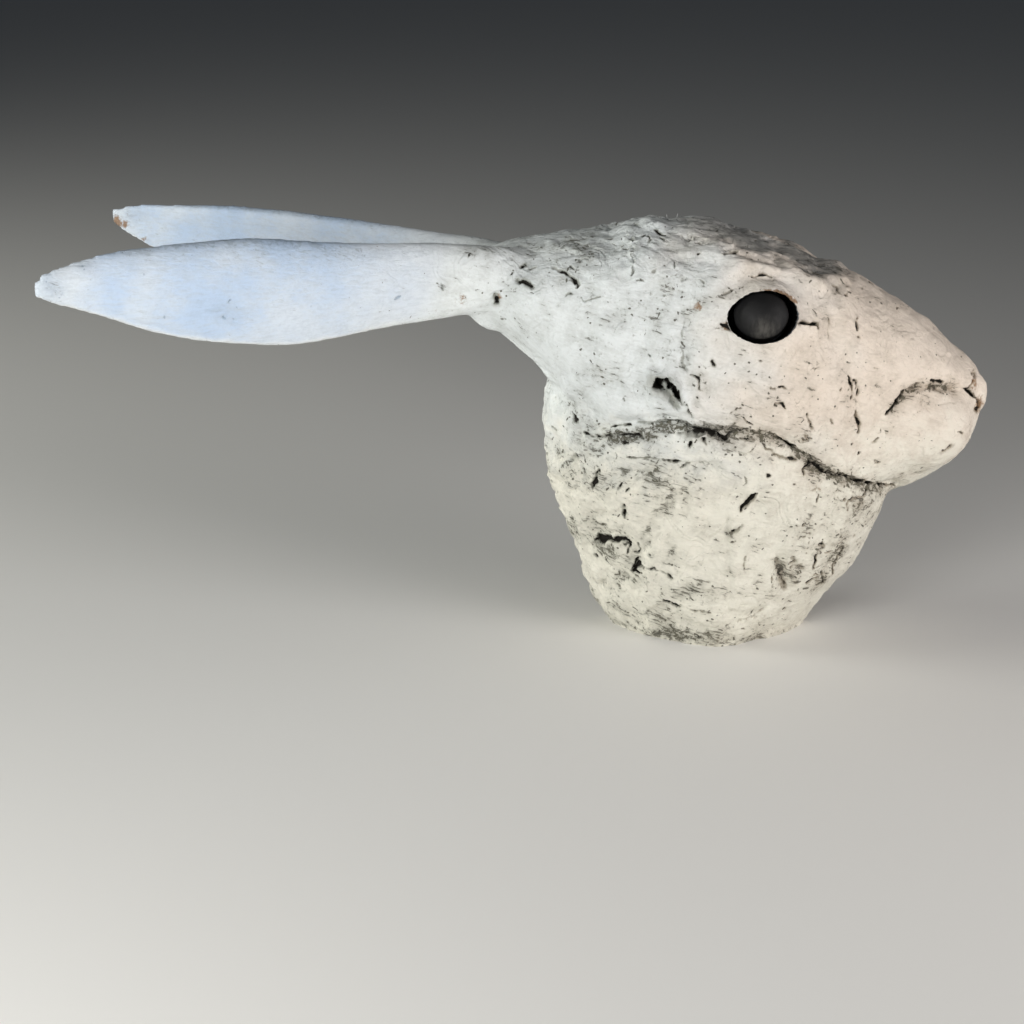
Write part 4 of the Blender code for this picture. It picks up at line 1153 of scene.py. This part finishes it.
def slip_material(settings):
    """White slip brushed over stoneware, rubbed with dark stain and wiped back.

    It is chalky and dull, with stain in every pit and brush line, and blue brushed thinly on the ears. Shade
    is painted in as well: under the folds' lips, in hollows, below the layers' edges, on the top of the head
    and on the ears' tops, and the ears' lower rims are left whiter as a painted highlight.
    """
    made, tree, shader = new_material("White slip over stoneware, stained and wiped")
    add = partial(add_node, tree)
    math_node, vector_math = "ShaderNodeMath", "ShaderNodeVectorMath"
    map_range, mix = "ShaderNodeMapRange", "ShaderNodeMix"
    smooth, even = "SMOOTHSTEP", "LINEAR"
    place = add("ShaderNodeTexCoord", output="Object")
    x, _, z = add("ShaderNodeSeparateXYZ", {0: place}).node.outputs
    stain, worn_and_shaded, bare, wash_and_rim_highlight, smoke_and_shade = (
        add("ShaderNodeAttribute", output="Fac", attribute_name=name)
        for name in ("stain", "worn_and_shaded", "bare", "wash_and_rim_highlight", "smoke_and_shade")
    )

    # Ways that patterns are drawn out in: the turn about Y in degrees and the stretch along the turned X axis
    swept, drawn_out, dragged = (
        add("ShaderNodeMapping", {
            "Vector": place, "Rotation": (0, math.radians(turn), 0), "Scale": (stretch, 1, 1),
        }, vector_type=kind)
        for turn, stretch, kind in ((-8, 0.3, "POINT"), (7, 0.1, "POINT"), (16, 5, "TEXTURE"))
    )

    # Patterns: broad tones, mottling, brush strokes, dragged streaks, torn flecks, specks, the ears' brush
    # lines and thin layers of clay, each with its size in millimetres, detail, roughness and distortion
    tones, mottle, strokes, streaks, torn, specks, lines, layers = (
        add("ShaderNodeTexNoise", {
            "Vector": where, "Scale": 1 / (size * MM),
            "Detail": detail, "Roughness": rough, "Distortion": bent,
        })
        for where, size, detail, rough, bent in (
            (place, 45, 2.0, 0.5, 0.0), (place, 12, 3.0, 0.55, 0.4), (swept, 3.2, 4.0, 0.6, 0.6),
            (dragged, 1.7, 4.0, 0.65, 0.5), (place, 3.4, 6.0, 0.72, 0.5), (place, 1.5, 3.0, 0.6, 0.0),
            (drawn_out, 1.8, 4.0, 0.6, 0.3), (place, 20, 4.0, 0.42, 0.5),
        )
    )

    # Shares, each a pattern with others added by their weights, from where to where that sum takes it, and
    # its first and last value: the warm face, the neck, the runs of stain at the layers' edges, the film
    # rubbed in and in flakes, the ears' brush lines and their wash brushed thin, the shade round marks, the
    # crown's fibres, bare clay, dark marks, flecks and thick stain
    shares = []
    for pattern, others, low, high, first, last, kind in (
        (x, ((tones, 0.14),), 0.02, 0.14, 0.0, 1.0, smooth),
        (z, ((mottle, 0.06),), 0.185, 0.12, 0.0, 1.0, smooth),
        (mottle, ((worn_and_shaded, 0.6), (torn, 0.8)), 1.08, 1.28, 0.0, 1.0, smooth),
        (mottle, ((streaks, 0.55), (specks, 0.3), (worn_and_shaded, 0.48)), 0.86, 1.75, 0.0, 0.8, even),
        (torn, ((specks, 0.4), (worn_and_shaded, 0.22)), 0.78, 1.0, 0.0, 0.6, smooth),
        (lines, ((specks, 0.4), (worn_and_shaded, 0.6)), 0.62, 1.2, 0.0, 0.5, even),
        (tones, ((lines, 0.4), (mottle, 0.3)), 0.65, 1.05, 1.0, 0.45, smooth),
        (stain, ((torn, 0.5),), 0.32, 0.85, 0.0, 0.72, smooth),
        (strokes, ((torn, 0.9), (smoke_and_shade, 0.75)), 1.05, 1.75, 0.0, 0.9, smooth),
        (bare, ((torn, 1.1), (specks, 0.8)), 1.3, 1.7, 0.0, 0.9, smooth),
        (stain, ((torn, 1.5),), 1.42, 1.78, 0.0, 1.0, smooth),
        (torn, ((worn_and_shaded, 0.27), (smoke_and_shade, 0.1)), 0.73, 0.8, 0.0, 0.85, smooth),
        (stain, ((mottle, 0.8),), 0.6, 1.15, 0.0, 1.0, smooth),
    ):
        total = pattern
        for other, weight in others:
            total = add(math_node, {0: other, 1: weight, 2: total}, operation="MULTIPLY_ADD")
        shares.append(add(map_range, {
            "Value": total, "From Min": low, "From Max": high, "To Min": first, "To Max": last,
        }, interpolation_type=kind))
    face, neck, runs, rubbed, flaked, drawn, brushed, skirt, fibres, tan, dark, fleck, thick = shares
    calm_ear = add(map_range, {"Value": wash_and_rim_highlight, "To Min": 1.0, "To Max": 0.25})

    # Thin layers of clay lie over each other 5 to 8 mm apart, each with a torn edge that holds stain in runs,
    # and a painted shade at the foot of each edge
    level = add(math_node, {0: layers, 1: 0.12}, operation="DIVIDE")
    within = add(math_node, {0: level}, operation="FRACT")
    stairs = add(math_node, {0: level}, operation="FLOOR")
    ramp = add(map_range, {"Value": within, "From Min": 0.0, "From Max": 0.5}, interpolation_type=smooth)
    stairs = add(math_node, {0: stairs, 1: ramp})
    runs = add(math_node, {0: runs, 1: calm_ear}, operation="MULTIPLY")
    edge = add(map_range, {
        "Value": within, "From Min": 0.12, "From Max": 0.0, "To Max": 0.25}, interpolation_type=smooth)
    edge = add(math_node, {0: edge, 1: runs}, operation="MULTIPLY")
    # Painted shade below each layer's edge
    foot = add(map_range, {"Value": within, "From Min": 0.55, "From Max": 1.0, "To Max": 0.22})
    foot = add(math_node, {0: foot, 1: runs}, operation="MULTIPLY")

    # The ears' wash is brushed thin along them over whiter slip
    ear = add(map_range, {"Value": wash_and_rim_highlight, "From Min": 0.0, "From Max": 0.35}, interpolation_type=smooth)
    brushed = add(math_node, {0: wash_and_rim_highlight, 1: brushed}, operation="MULTIPLY")

    # A thin film of stain in broad soft patches and streaks, with sharp flecks where the slip is worn, and
    # painted shade under the layers' edges and, through the wear attribute, under folds, in hollows and on
    # the ears' tops. On the ears it lies in brush lines
    rubbed = add(math_node, {0: rubbed, 1: flaked}, operation="MAXIMUM")
    rubbed = add(mix, {0: ear, 2: rubbed, 3: drawn}, output=0)
    rubbed = add(math_node, {0: rubbed, 1: foot})
    held = add(map_range, {"Value": stain, "From Min": 0.02, "From Max": 0.1})
    skirt = add(math_node, {0: skirt, 1: held}, operation="MULTIPLY")
    film = add(math_node, {0: rubbed, 1: skirt}, operation="MAXIMUM")

    # The top of the head is smoky in fibrous swirls, its grey partly painted shade on the upward-facing top
    fibres = add(math_node, {0: fibres, 1: smoke_and_shade}, operation="MULTIPLY")

    # Nicks up to 4 mm long and 0.4 mm wide, each turned its own way, more of them where the slip is worn
    shaken = add("ShaderNodeTexNoise", {
        "Vector": place, "Scale": 1 / (1.6 * MM), "Detail": 2.0}, output="Color")
    shaken = add(vector_math, {0: shaken, 1: (1.2 * MM,) * 3, 2: place}, operation="MULTIPLY_ADD")
    nicks = add("ShaderNodeTexVoronoi", {"Vector": shaken, "Scale": 1 / (5.5 * MM)}).node.outputs
    off = add(vector_math, {0: shaken, 1: nicks["Position"]}, operation="SUBTRACT")
    way = add(vector_math, {0: nicks["Color"], 1: (0.5, 0.5, 0.5)}, operation="SUBTRACT")
    way = add(vector_math, {0: way}, operation="NORMALIZE")
    along = add(vector_math, {0: off, 1: way}, output="Value", operation="DOT_PRODUCT")
    along = add("ShaderNodeClamp", {0: along, 1: -1.7 * MM, 2: 1.7 * MM})
    along = add(vector_math, {0: way, "Scale": along}, operation="SCALE")
    beside = add(vector_math, {0: off, 1: along}, output="Value", operation="DISTANCE")
    chance = add("ShaderNodeSeparateColor", {0: nicks["Color"]}, output="Green")
    for pattern in (mottle, worn_and_shaded):
        chance = add(math_node, {0: pattern, 1: 0.9, 2: chance}, operation="MULTIPLY_ADD")
    nick_width = add(map_range, {
        "Value": chance, "From Min": 0.93, "From Max": 1.55, "To Min": 0.0, "To Max": 0.62 * MM})
    nick_width = add(math_node, {0: nick_width, 1: calm_ear}, operation="MULTIPLY")
    nick = add(math_node, {0: nick_width, 1: beside}, operation="SUBTRACT")
    nick = add(map_range, {"Value": nick, "From Min": 0.0, "From Max": 0.12 * MM, "To Max": 0.85})

    # Gritty streaks, denser where the slip is worn but never solid
    capped = add(math_node, {0: worn_and_shaded, 1: 0.7}, operation="MINIMUM")
    grit = streaks
    for pattern, weight in ((mottle, 0.55), (capped, 0.2035), (neck, 0.035)):
        grit = add(math_node, {0: pattern, 1: weight, 2: grit}, operation="MULTIPLY_ADD")
    grit = add(map_range, {
        "Value": grit, "From Min": 0.965, "From Max": 1.06, "To Max": 0.75}, interpolation_type=smooth)

    # Stain fills the marks in broken runs, olive where it is thin and near black where it is deep
    marked = dark
    for share in (fleck, grit):
        calmed = add(math_node, {0: share, 1: calm_ear}, operation="MULTIPLY")
        marked = add(math_node, {0: marked, 1: calmed}, operation="MAXIMUM")
    marked = add(math_node, {0: marked, 1: nick}, operation="MAXIMUM")

    # Colours laid over each other in turn, each with how far it covers
    rgba = {"output": 2, "data_type": "RGBA"}
    film_colour = add(mix, {0: face, 6: settings.film, 7: settings.brown_film}, **rgba)
    film_colour = add(mix, {0: ear, 6: film_colour, 7: settings.ear_film}, **rgba)
    stained = add(mix, {0: thick, 6: settings.thin_stain, 7: settings.stain}, **rgba)
    colour = settings.cool_slip
    for share, laid in (
        (face, settings.warm_slip), (neck, settings.slip), (ear, settings.ear_slip),
        (brushed, settings.ear_wash), (film, film_colour), (edge, settings.thin_stain),
        (fibres, settings.smoke_and_shade), (tan, settings.bare), (marked, stained),
    ):
        colour = add(mix, {0: share, 6: colour, 7: laid}, **rgba)

    # Relief too fine for the mesh, in metres: brush lines on the ears, and layers, torn flecks, strokes,
    # specks and marks elsewhere
    grain = add(mix, {0: ear, 2: strokes, 3: lines}, output=0)
    relief = add(math_node, {0: stairs, 1: 0.4 * MM}, operation="MULTIPLY")
    relief = add(math_node, {0: torn, 1: 0.5 * MM, 2: relief}, operation="MULTIPLY_ADD")
    relief = add(math_node, {0: relief, 1: calm_ear}, operation="MULTIPLY")
    for pattern, height in ((grain, 0.7 * MM), (specks, 0.16 * MM), (marked, -0.3 * MM)):
        relief = add(math_node, {0: pattern, 1: height, 2: relief}, operation="MULTIPLY_ADD")
    bump = add("ShaderNodeBump", {"Height": relief, "Strength": 0.9, "Distance": 1.0})
    roughness = add(map_range, {
        "Value": torn, "From Min": 0.3, "From Max": 0.7, "To Min": 0.66, "To Max": 0.85})
    tree.links.new(colour, shader.inputs["Base Color"])
    tree.links.new(bump, shader.inputs["Normal"])
    tree.links.new(roughness, shader.inputs["Roughness"])
    shader.inputs["Specular IOR Level"].default_value = 0.3
    return made


def charcoal_material(settings):
    """Charcoal clay burnished with a thumb: near black with a dull shine, dusty below its middle, and painted
    near black shade past the disc that shows between the lids.
    """
    made, tree, shader = new_material("Charcoal clay, burnished")
    add = partial(add_node, tree)
    math_node, map_range, mix = "ShaderNodeMath", "ShaderNodeMapRange", "ShaderNodeMix"
    place = add("ShaderNodeTexCoord", output="Object")
    dust, shade = (
        add("ShaderNodeAttribute", output="Fac", attribute_name=name) for name in ("dust", "shade")
    )
    fine = add("ShaderNodeTexNoise", {
        "Vector": place, "Scale": 1 / (2.5 * MM), "Detail": 5.0, "Roughness": 0.7})
    drawn_out = add("ShaderNodeMapping", {"Vector": place, "Scale": (1, 1, 0.3)})
    streak = add("ShaderNodeTexNoise", {
        "Vector": drawn_out, "Scale": 1 / (2.2 * MM), "Detail": 4.0, "Roughness": 0.65})
    dusty = add(math_node, {0: dust, 1: streak}, operation="MULTIPLY")
    dusty = add(map_range, {
        "Value": dusty, "From Min": 0.1, "From Max": 0.6, "To Max": 0.8}, interpolation_type="SMOOTHSTEP")
    colour = settings.charcoal
    for share, laid in ((dusty, settings.dust), (shade, settings.gap_shade)):
        colour = add(mix, {0: share, 6: colour, 7: laid}, output=2, data_type="RGBA")
    rough = add(map_range, {
        "Value": fine, "From Min": 0.3, "From Max": 0.7, "To Min": 0.5, "To Max": 0.68})
    relief = add(math_node, {0: fine, 1: 0.15 * MM}, operation="MULTIPLY")
    bump = add("ShaderNodeBump", {"Height": relief, "Strength": 0.7, "Distance": 1.0})
    tree.links.new(colour, shader.inputs["Base Color"])
    tree.links.new(rough, shader.inputs["Roughness"])
    tree.links.new(bump, shader.inputs["Normal"])
    shader.inputs["Specular IOR Level"].default_value = 0.25
    return made


class RABBIT_OT_model_clay(bpy.types.Operator):
    """Models the head, neck and ears in clay with every fold, slit and stain"""

    bl_idname = "rabbit.model_clay"
    bl_label = "Model the clay head"

    def execute(self, context):
        settings = context.scene.rabbit_clay
        shape = model_clay(settings)
        level_foot(shape)
        cutters = eye_cutters()
        cut = {"operation": "DIFFERENCE", "solver": "EXACT", "object": cutters}
        shape = modified(shape, (("BOOLEAN", cut),))
        bpy.data.objects.remove(cutters)
        clay = new_object("rabbit_head_clay", shape)
        stain_and_shade_lid_walls(clay.data)
        clay.data.shade_smooth()
        clay.data.set_sharp_from_angle(angle=SHARP_ANGLE)
        clay.data.materials.append(slip_material(settings))
        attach(clay, "root")
        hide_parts("rabbit_head")
        return {"FINISHED"}


def stain_and_shade_lid_walls(mesh):
    """Darkens the cut between the lids and the socket with stain and painted shade, and leaves tan clay along
    the upper lid's rim.
    """
    places = read_places(mesh)
    stain = np.empty(len(places))
    bare = np.empty(len(places))
    mesh.attributes["stain"].data.foreach_get("value", stain)
    mesh.attributes["bare"].data.foreach_get("value", bare)
    for name, side in EYES.items():
        centre, radius = eye_place(name)
        away = np.linalg.norm(places - np.array(centre), axis=1)
        to_eye = np.array(opening_matrix(name, side).inverted())
        seen = places @ to_eye[:3, :3].T + to_eye[:3, 3]
        across = np.abs(seen[:, 0] / (OPENING_LENGTH / 2)) ** OPENING_SHARPNESS
        up = np.abs(seen[:, 1] / (OPENING_HEIGHT / 2)) ** OPENING_SHARPNESS
        out = (across + up) ** (1 / OPENING_SHARPNESS)
        height = away - radius - LID_THICKNESS
        close = (seen[:, 2] > 0) & (height < LID_RIM_REACH)
        wall = (1 - rise(height, *LID_WALL)) * (1 - rise(out, *LID_WALL_FADE))
        # The wall is darkened with stain and with painted shade, where the cut lies in shadow
        stain = np.maximum(stain, 1.7 * wall)
        above = rise(places[:, 2] - centre.z, *UPPER_LID)
        front = 0.45 + 0.55 * rise(places[:, 0] - centre.x, *LID_FRONT)
        rim = np.where(close, 1 - rise(np.abs(out - LID_RIM), *LID_RIM_FADE), 0)
        bare = np.maximum(bare, 0.8 * above * front * rim)
    mesh.attributes["stain"].data.foreach_set("value", stain)
    mesh.attributes["bare"].data.foreach_set("value", bare)


class RABBIT_OT_set_eyes(bpy.types.Operator):
    """Rolls the two charcoal balls, not quite round, and sets them behind the lids"""

    bl_idname = "rabbit.set_eyes"
    bl_label = "Set the eyes"

    def execute(self, context):
        material = charcoal_material(context.scene.rabbit_eyes)
        for name, side in EYES.items():
            centre, radius = eye_place(name)
            outward = eye_matrix(name, side).to_3x3().col[2]
            smear = (outward + DUST_WAY).normalized()
            shape = bmesh.new()
            add_ball(shape, centre, radius, EYE_SEGMENTS)
            dust = shape.verts.layers.float.new("dust")
            shade = shape.verts.layers.float.new("shade")
            socket = eye_matrix(name, side).inverted()
            for vertex in shape.verts:
                out = (vertex.co - centre).normalized()
                seen = socket @ vertex.co
                across = (seen.x - DISC_MIDDLE[0]) / DISC_HALF_LENGTH
                up = (-side * seen.y - DISC_MIDDLE[1]) / DISC_HALF_HEIGHT
                past = math.hypot(across, up) * (1 + 0.03 * noise.noise(vertex.co / (5 * MM)))
                past = 3.0 if seen.z < 0 else past
                vertex[dust] = max(0.0, 1.1 - out.angle(smear) / DUST_SPREAD)
                # Painted shade: past the disc the ball turns near black, for the shadow in the gap behind the
                # lids
                vertex[shade] = min(1.0, max(0.0, (past - 0.93) / 0.12))
                pared = DISC_STEP * min(1.0, max(0.0, (past - 0.97) / 0.1))
                pared += BALL_LUMP * (1 + noise.noise(vertex.co / BALL_LUMP_SIZE))
                vertex.co -= out * pared
            ball = new_object(name + "_ball", shape)
            ball.data.shade_smooth()
            ball.data.materials.append(material)
            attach(ball, "root")
            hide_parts(name)
        return {"FINISHED"}


# The camera: how far it looks down and aside, its lens, and where the neck's foot lies in the picture
PICTURE = 1024
LENS_PIXELS = 2000
LOOK_DOWN = math.radians(20)
LOOK_ASIDE = math.radians(2)
FOOT_PIXEL = (706, 620)
SENSOR = 36.0
FAR_CLIP = 60

# Lights: the way each comes from round the object and above the floor in degrees, its distance and size
# in metres, its power in watts and its colour. All aim at one point
LIGHTS = (
    ("front_softbox", -30, 12, 1.1, 0.6, 7.2, "#FFFEFB"),
    ("right_softbox", 60, 12, 1.1, 0.6, 6.9, "#FFFAF8"),
    ("left_softbox", -90, 20, 1.7, 0.7, 11.0, "#FFFFF7"),
)
LIGHTS_AIM = Vector((-0.05, 0, 0.12))

# The room's faint light from all sides, and half the floor's width in metres
AIR_COLOUR = "#E4F0FF"
AIR_STRENGTH = 0.035
FLOOR_HALF = 12


def camera_matrix(distance):
    """The camera's place, which puts the neck's foot at its pixel at the distance given."""
    right = Vector((math.cos(LOOK_ASIDE), math.sin(LOOK_ASIDE), 0))
    flat = Vector((-math.sin(LOOK_ASIDE), math.cos(LOOK_ASIDE), 0))
    ahead = flat * math.cos(LOOK_DOWN) - Vector((0, 0, math.sin(LOOK_DOWN)))
    up = right.cross(ahead)
    aside = (FOOT_PIXEL[0] - PICTURE / 2) / LENS_PIXELS * distance
    below = (FOOT_PIXEL[1] - PICTURE / 2) / LENS_PIXELS * distance
    place = -(ahead * distance + right * aside - up * below)
    turned = Matrix((right, up, -ahead)).transposed().to_4x4()
    return Matrix.Translation(place) @ turned


def paper_material(settings):
    """Matt backdrop paper, smooth to the eye, with a slight tooth."""
    made, tree, shader = new_material("Backdrop paper, matt")
    place = add_node(tree, "ShaderNodeTexCoord", output="Object")
    tooth = add_node(tree, "ShaderNodeTexNoise", {"Vector": place, "Scale": 1 / (2 * MM)})
    low = add_node(tree, "ShaderNodeMath", {0: tooth, 1: 0.1 * MM}, operation="MULTIPLY")
    bump = add_node(tree, "ShaderNodeBump", {"Height": low, "Strength": 0.3, "Distance": 1.0})
    tree.links.new(bump, shader.inputs["Normal"])
    shader.inputs["Base Color"].default_value = settings.floor
    shader.inputs["Roughness"].default_value = 0.8
    shader.inputs["Specular IOR Level"].default_value = 0.2
    return made


class RABBIT_OT_dress_stage(bpy.types.Operator):
    """Lays the floor and sets the lights and the camera"""

    bl_idname = "rabbit.dress_stage"
    bl_label = "Dress the stage"

    def execute(self, context):
        settings = context.scene.rabbit_stage
        shape = bmesh.new()
        bmesh.ops.create_grid(shape, x_segments=1, y_segments=1, size=FLOOR_HALF)
        floor = new_object("floor", shape)
        floor.data.materials.append(paper_material(settings))

        for name, around, above, distance, size, power, colour in LIGHTS:
            lamp = bpy.data.lights.new(name, "AREA")
            lamp.shape = "DISK"
            lamp.size = size
            lamp.energy = power
            lamp.color = linear(colour)[:3]
            light = bpy.data.objects.new(name, lamp)
            turn, lift = math.radians(around), math.radians(above)
            way = Vector((math.sin(turn) * math.cos(lift), -math.cos(turn) * math.cos(lift), math.sin(lift)))
            light.location = LIGHTS_AIM + way * distance
            light.rotation_euler = way.to_track_quat("Z", "Y").to_euler()
            context.scene.collection.objects.link(light)

        world = bpy.data.worlds.new("studio")
        world.use_nodes = True
        backdrop = world.node_tree.nodes["Background"]
        backdrop.inputs["Color"].default_value = linear(AIR_COLOUR)
        backdrop.inputs["Strength"].default_value = AIR_STRENGTH
        context.scene.world = world

        lens = bpy.data.cameras.new("camera")
        lens.sensor_width = SENSOR
        lens.lens = LENS_PIXELS / PICTURE * SENSOR
        lens.clip_end = FAR_CLIP
        camera = bpy.data.objects.new("camera", lens)
        camera.matrix_world = camera_matrix(settings.distance)
        context.scene.collection.objects.link(camera)
        context.scene.camera = camera
        context.scene.view_settings.view_transform = "Standard"
        return {"FINISHED"}


class RABBIT_PT_sculpture(bpy.types.Panel):
    bl_label = "Ceramic rabbit's head"
    bl_space_type = "VIEW_3D"
    bl_region_type = "UI"
    bl_category = "Rabbit"

    def draw(self, context):
        for settings, operator in (
            (context.scene.rabbit_clay, RABBIT_OT_model_clay),
            (context.scene.rabbit_eyes, RABBIT_OT_set_eyes),
            (context.scene.rabbit_stage, RABBIT_OT_dress_stage),
        ):
            box = self.layout.box()
            for name in settings.bl_rna.properties.keys():
                if name not in {"rna_type", "name"}:
                    box.prop(settings, name)
            box.operator(operator.bl_idname)


CLASSES = (
    ClaySettings, EyeSettings, StageSettings,
    RABBIT_OT_model_clay, RABBIT_OT_set_eyes, RABBIT_OT_dress_stage, RABBIT_PT_sculpture,
)


def register():
    for item in CLASSES:
        bpy.utils.register_class(item)
    bpy.types.Scene.rabbit_clay = PointerProperty(type=ClaySettings)
    bpy.types.Scene.rabbit_eyes = PointerProperty(type=EyeSettings)
    bpy.types.Scene.rabbit_stage = PointerProperty(type=StageSettings)


def unregister():
    del bpy.types.Scene.rabbit_stage
    del bpy.types.Scene.rabbit_eyes
    del bpy.types.Scene.rabbit_clay
    for item in reversed(CLASSES):
        bpy.utils.unregister_class(item)


def main():
    register()
    bpy.ops.rabbit.model_clay()
    bpy.ops.rabbit.set_eyes()
    bpy.ops.rabbit.dress_stage()


if __name__ == "__main__":
    main()
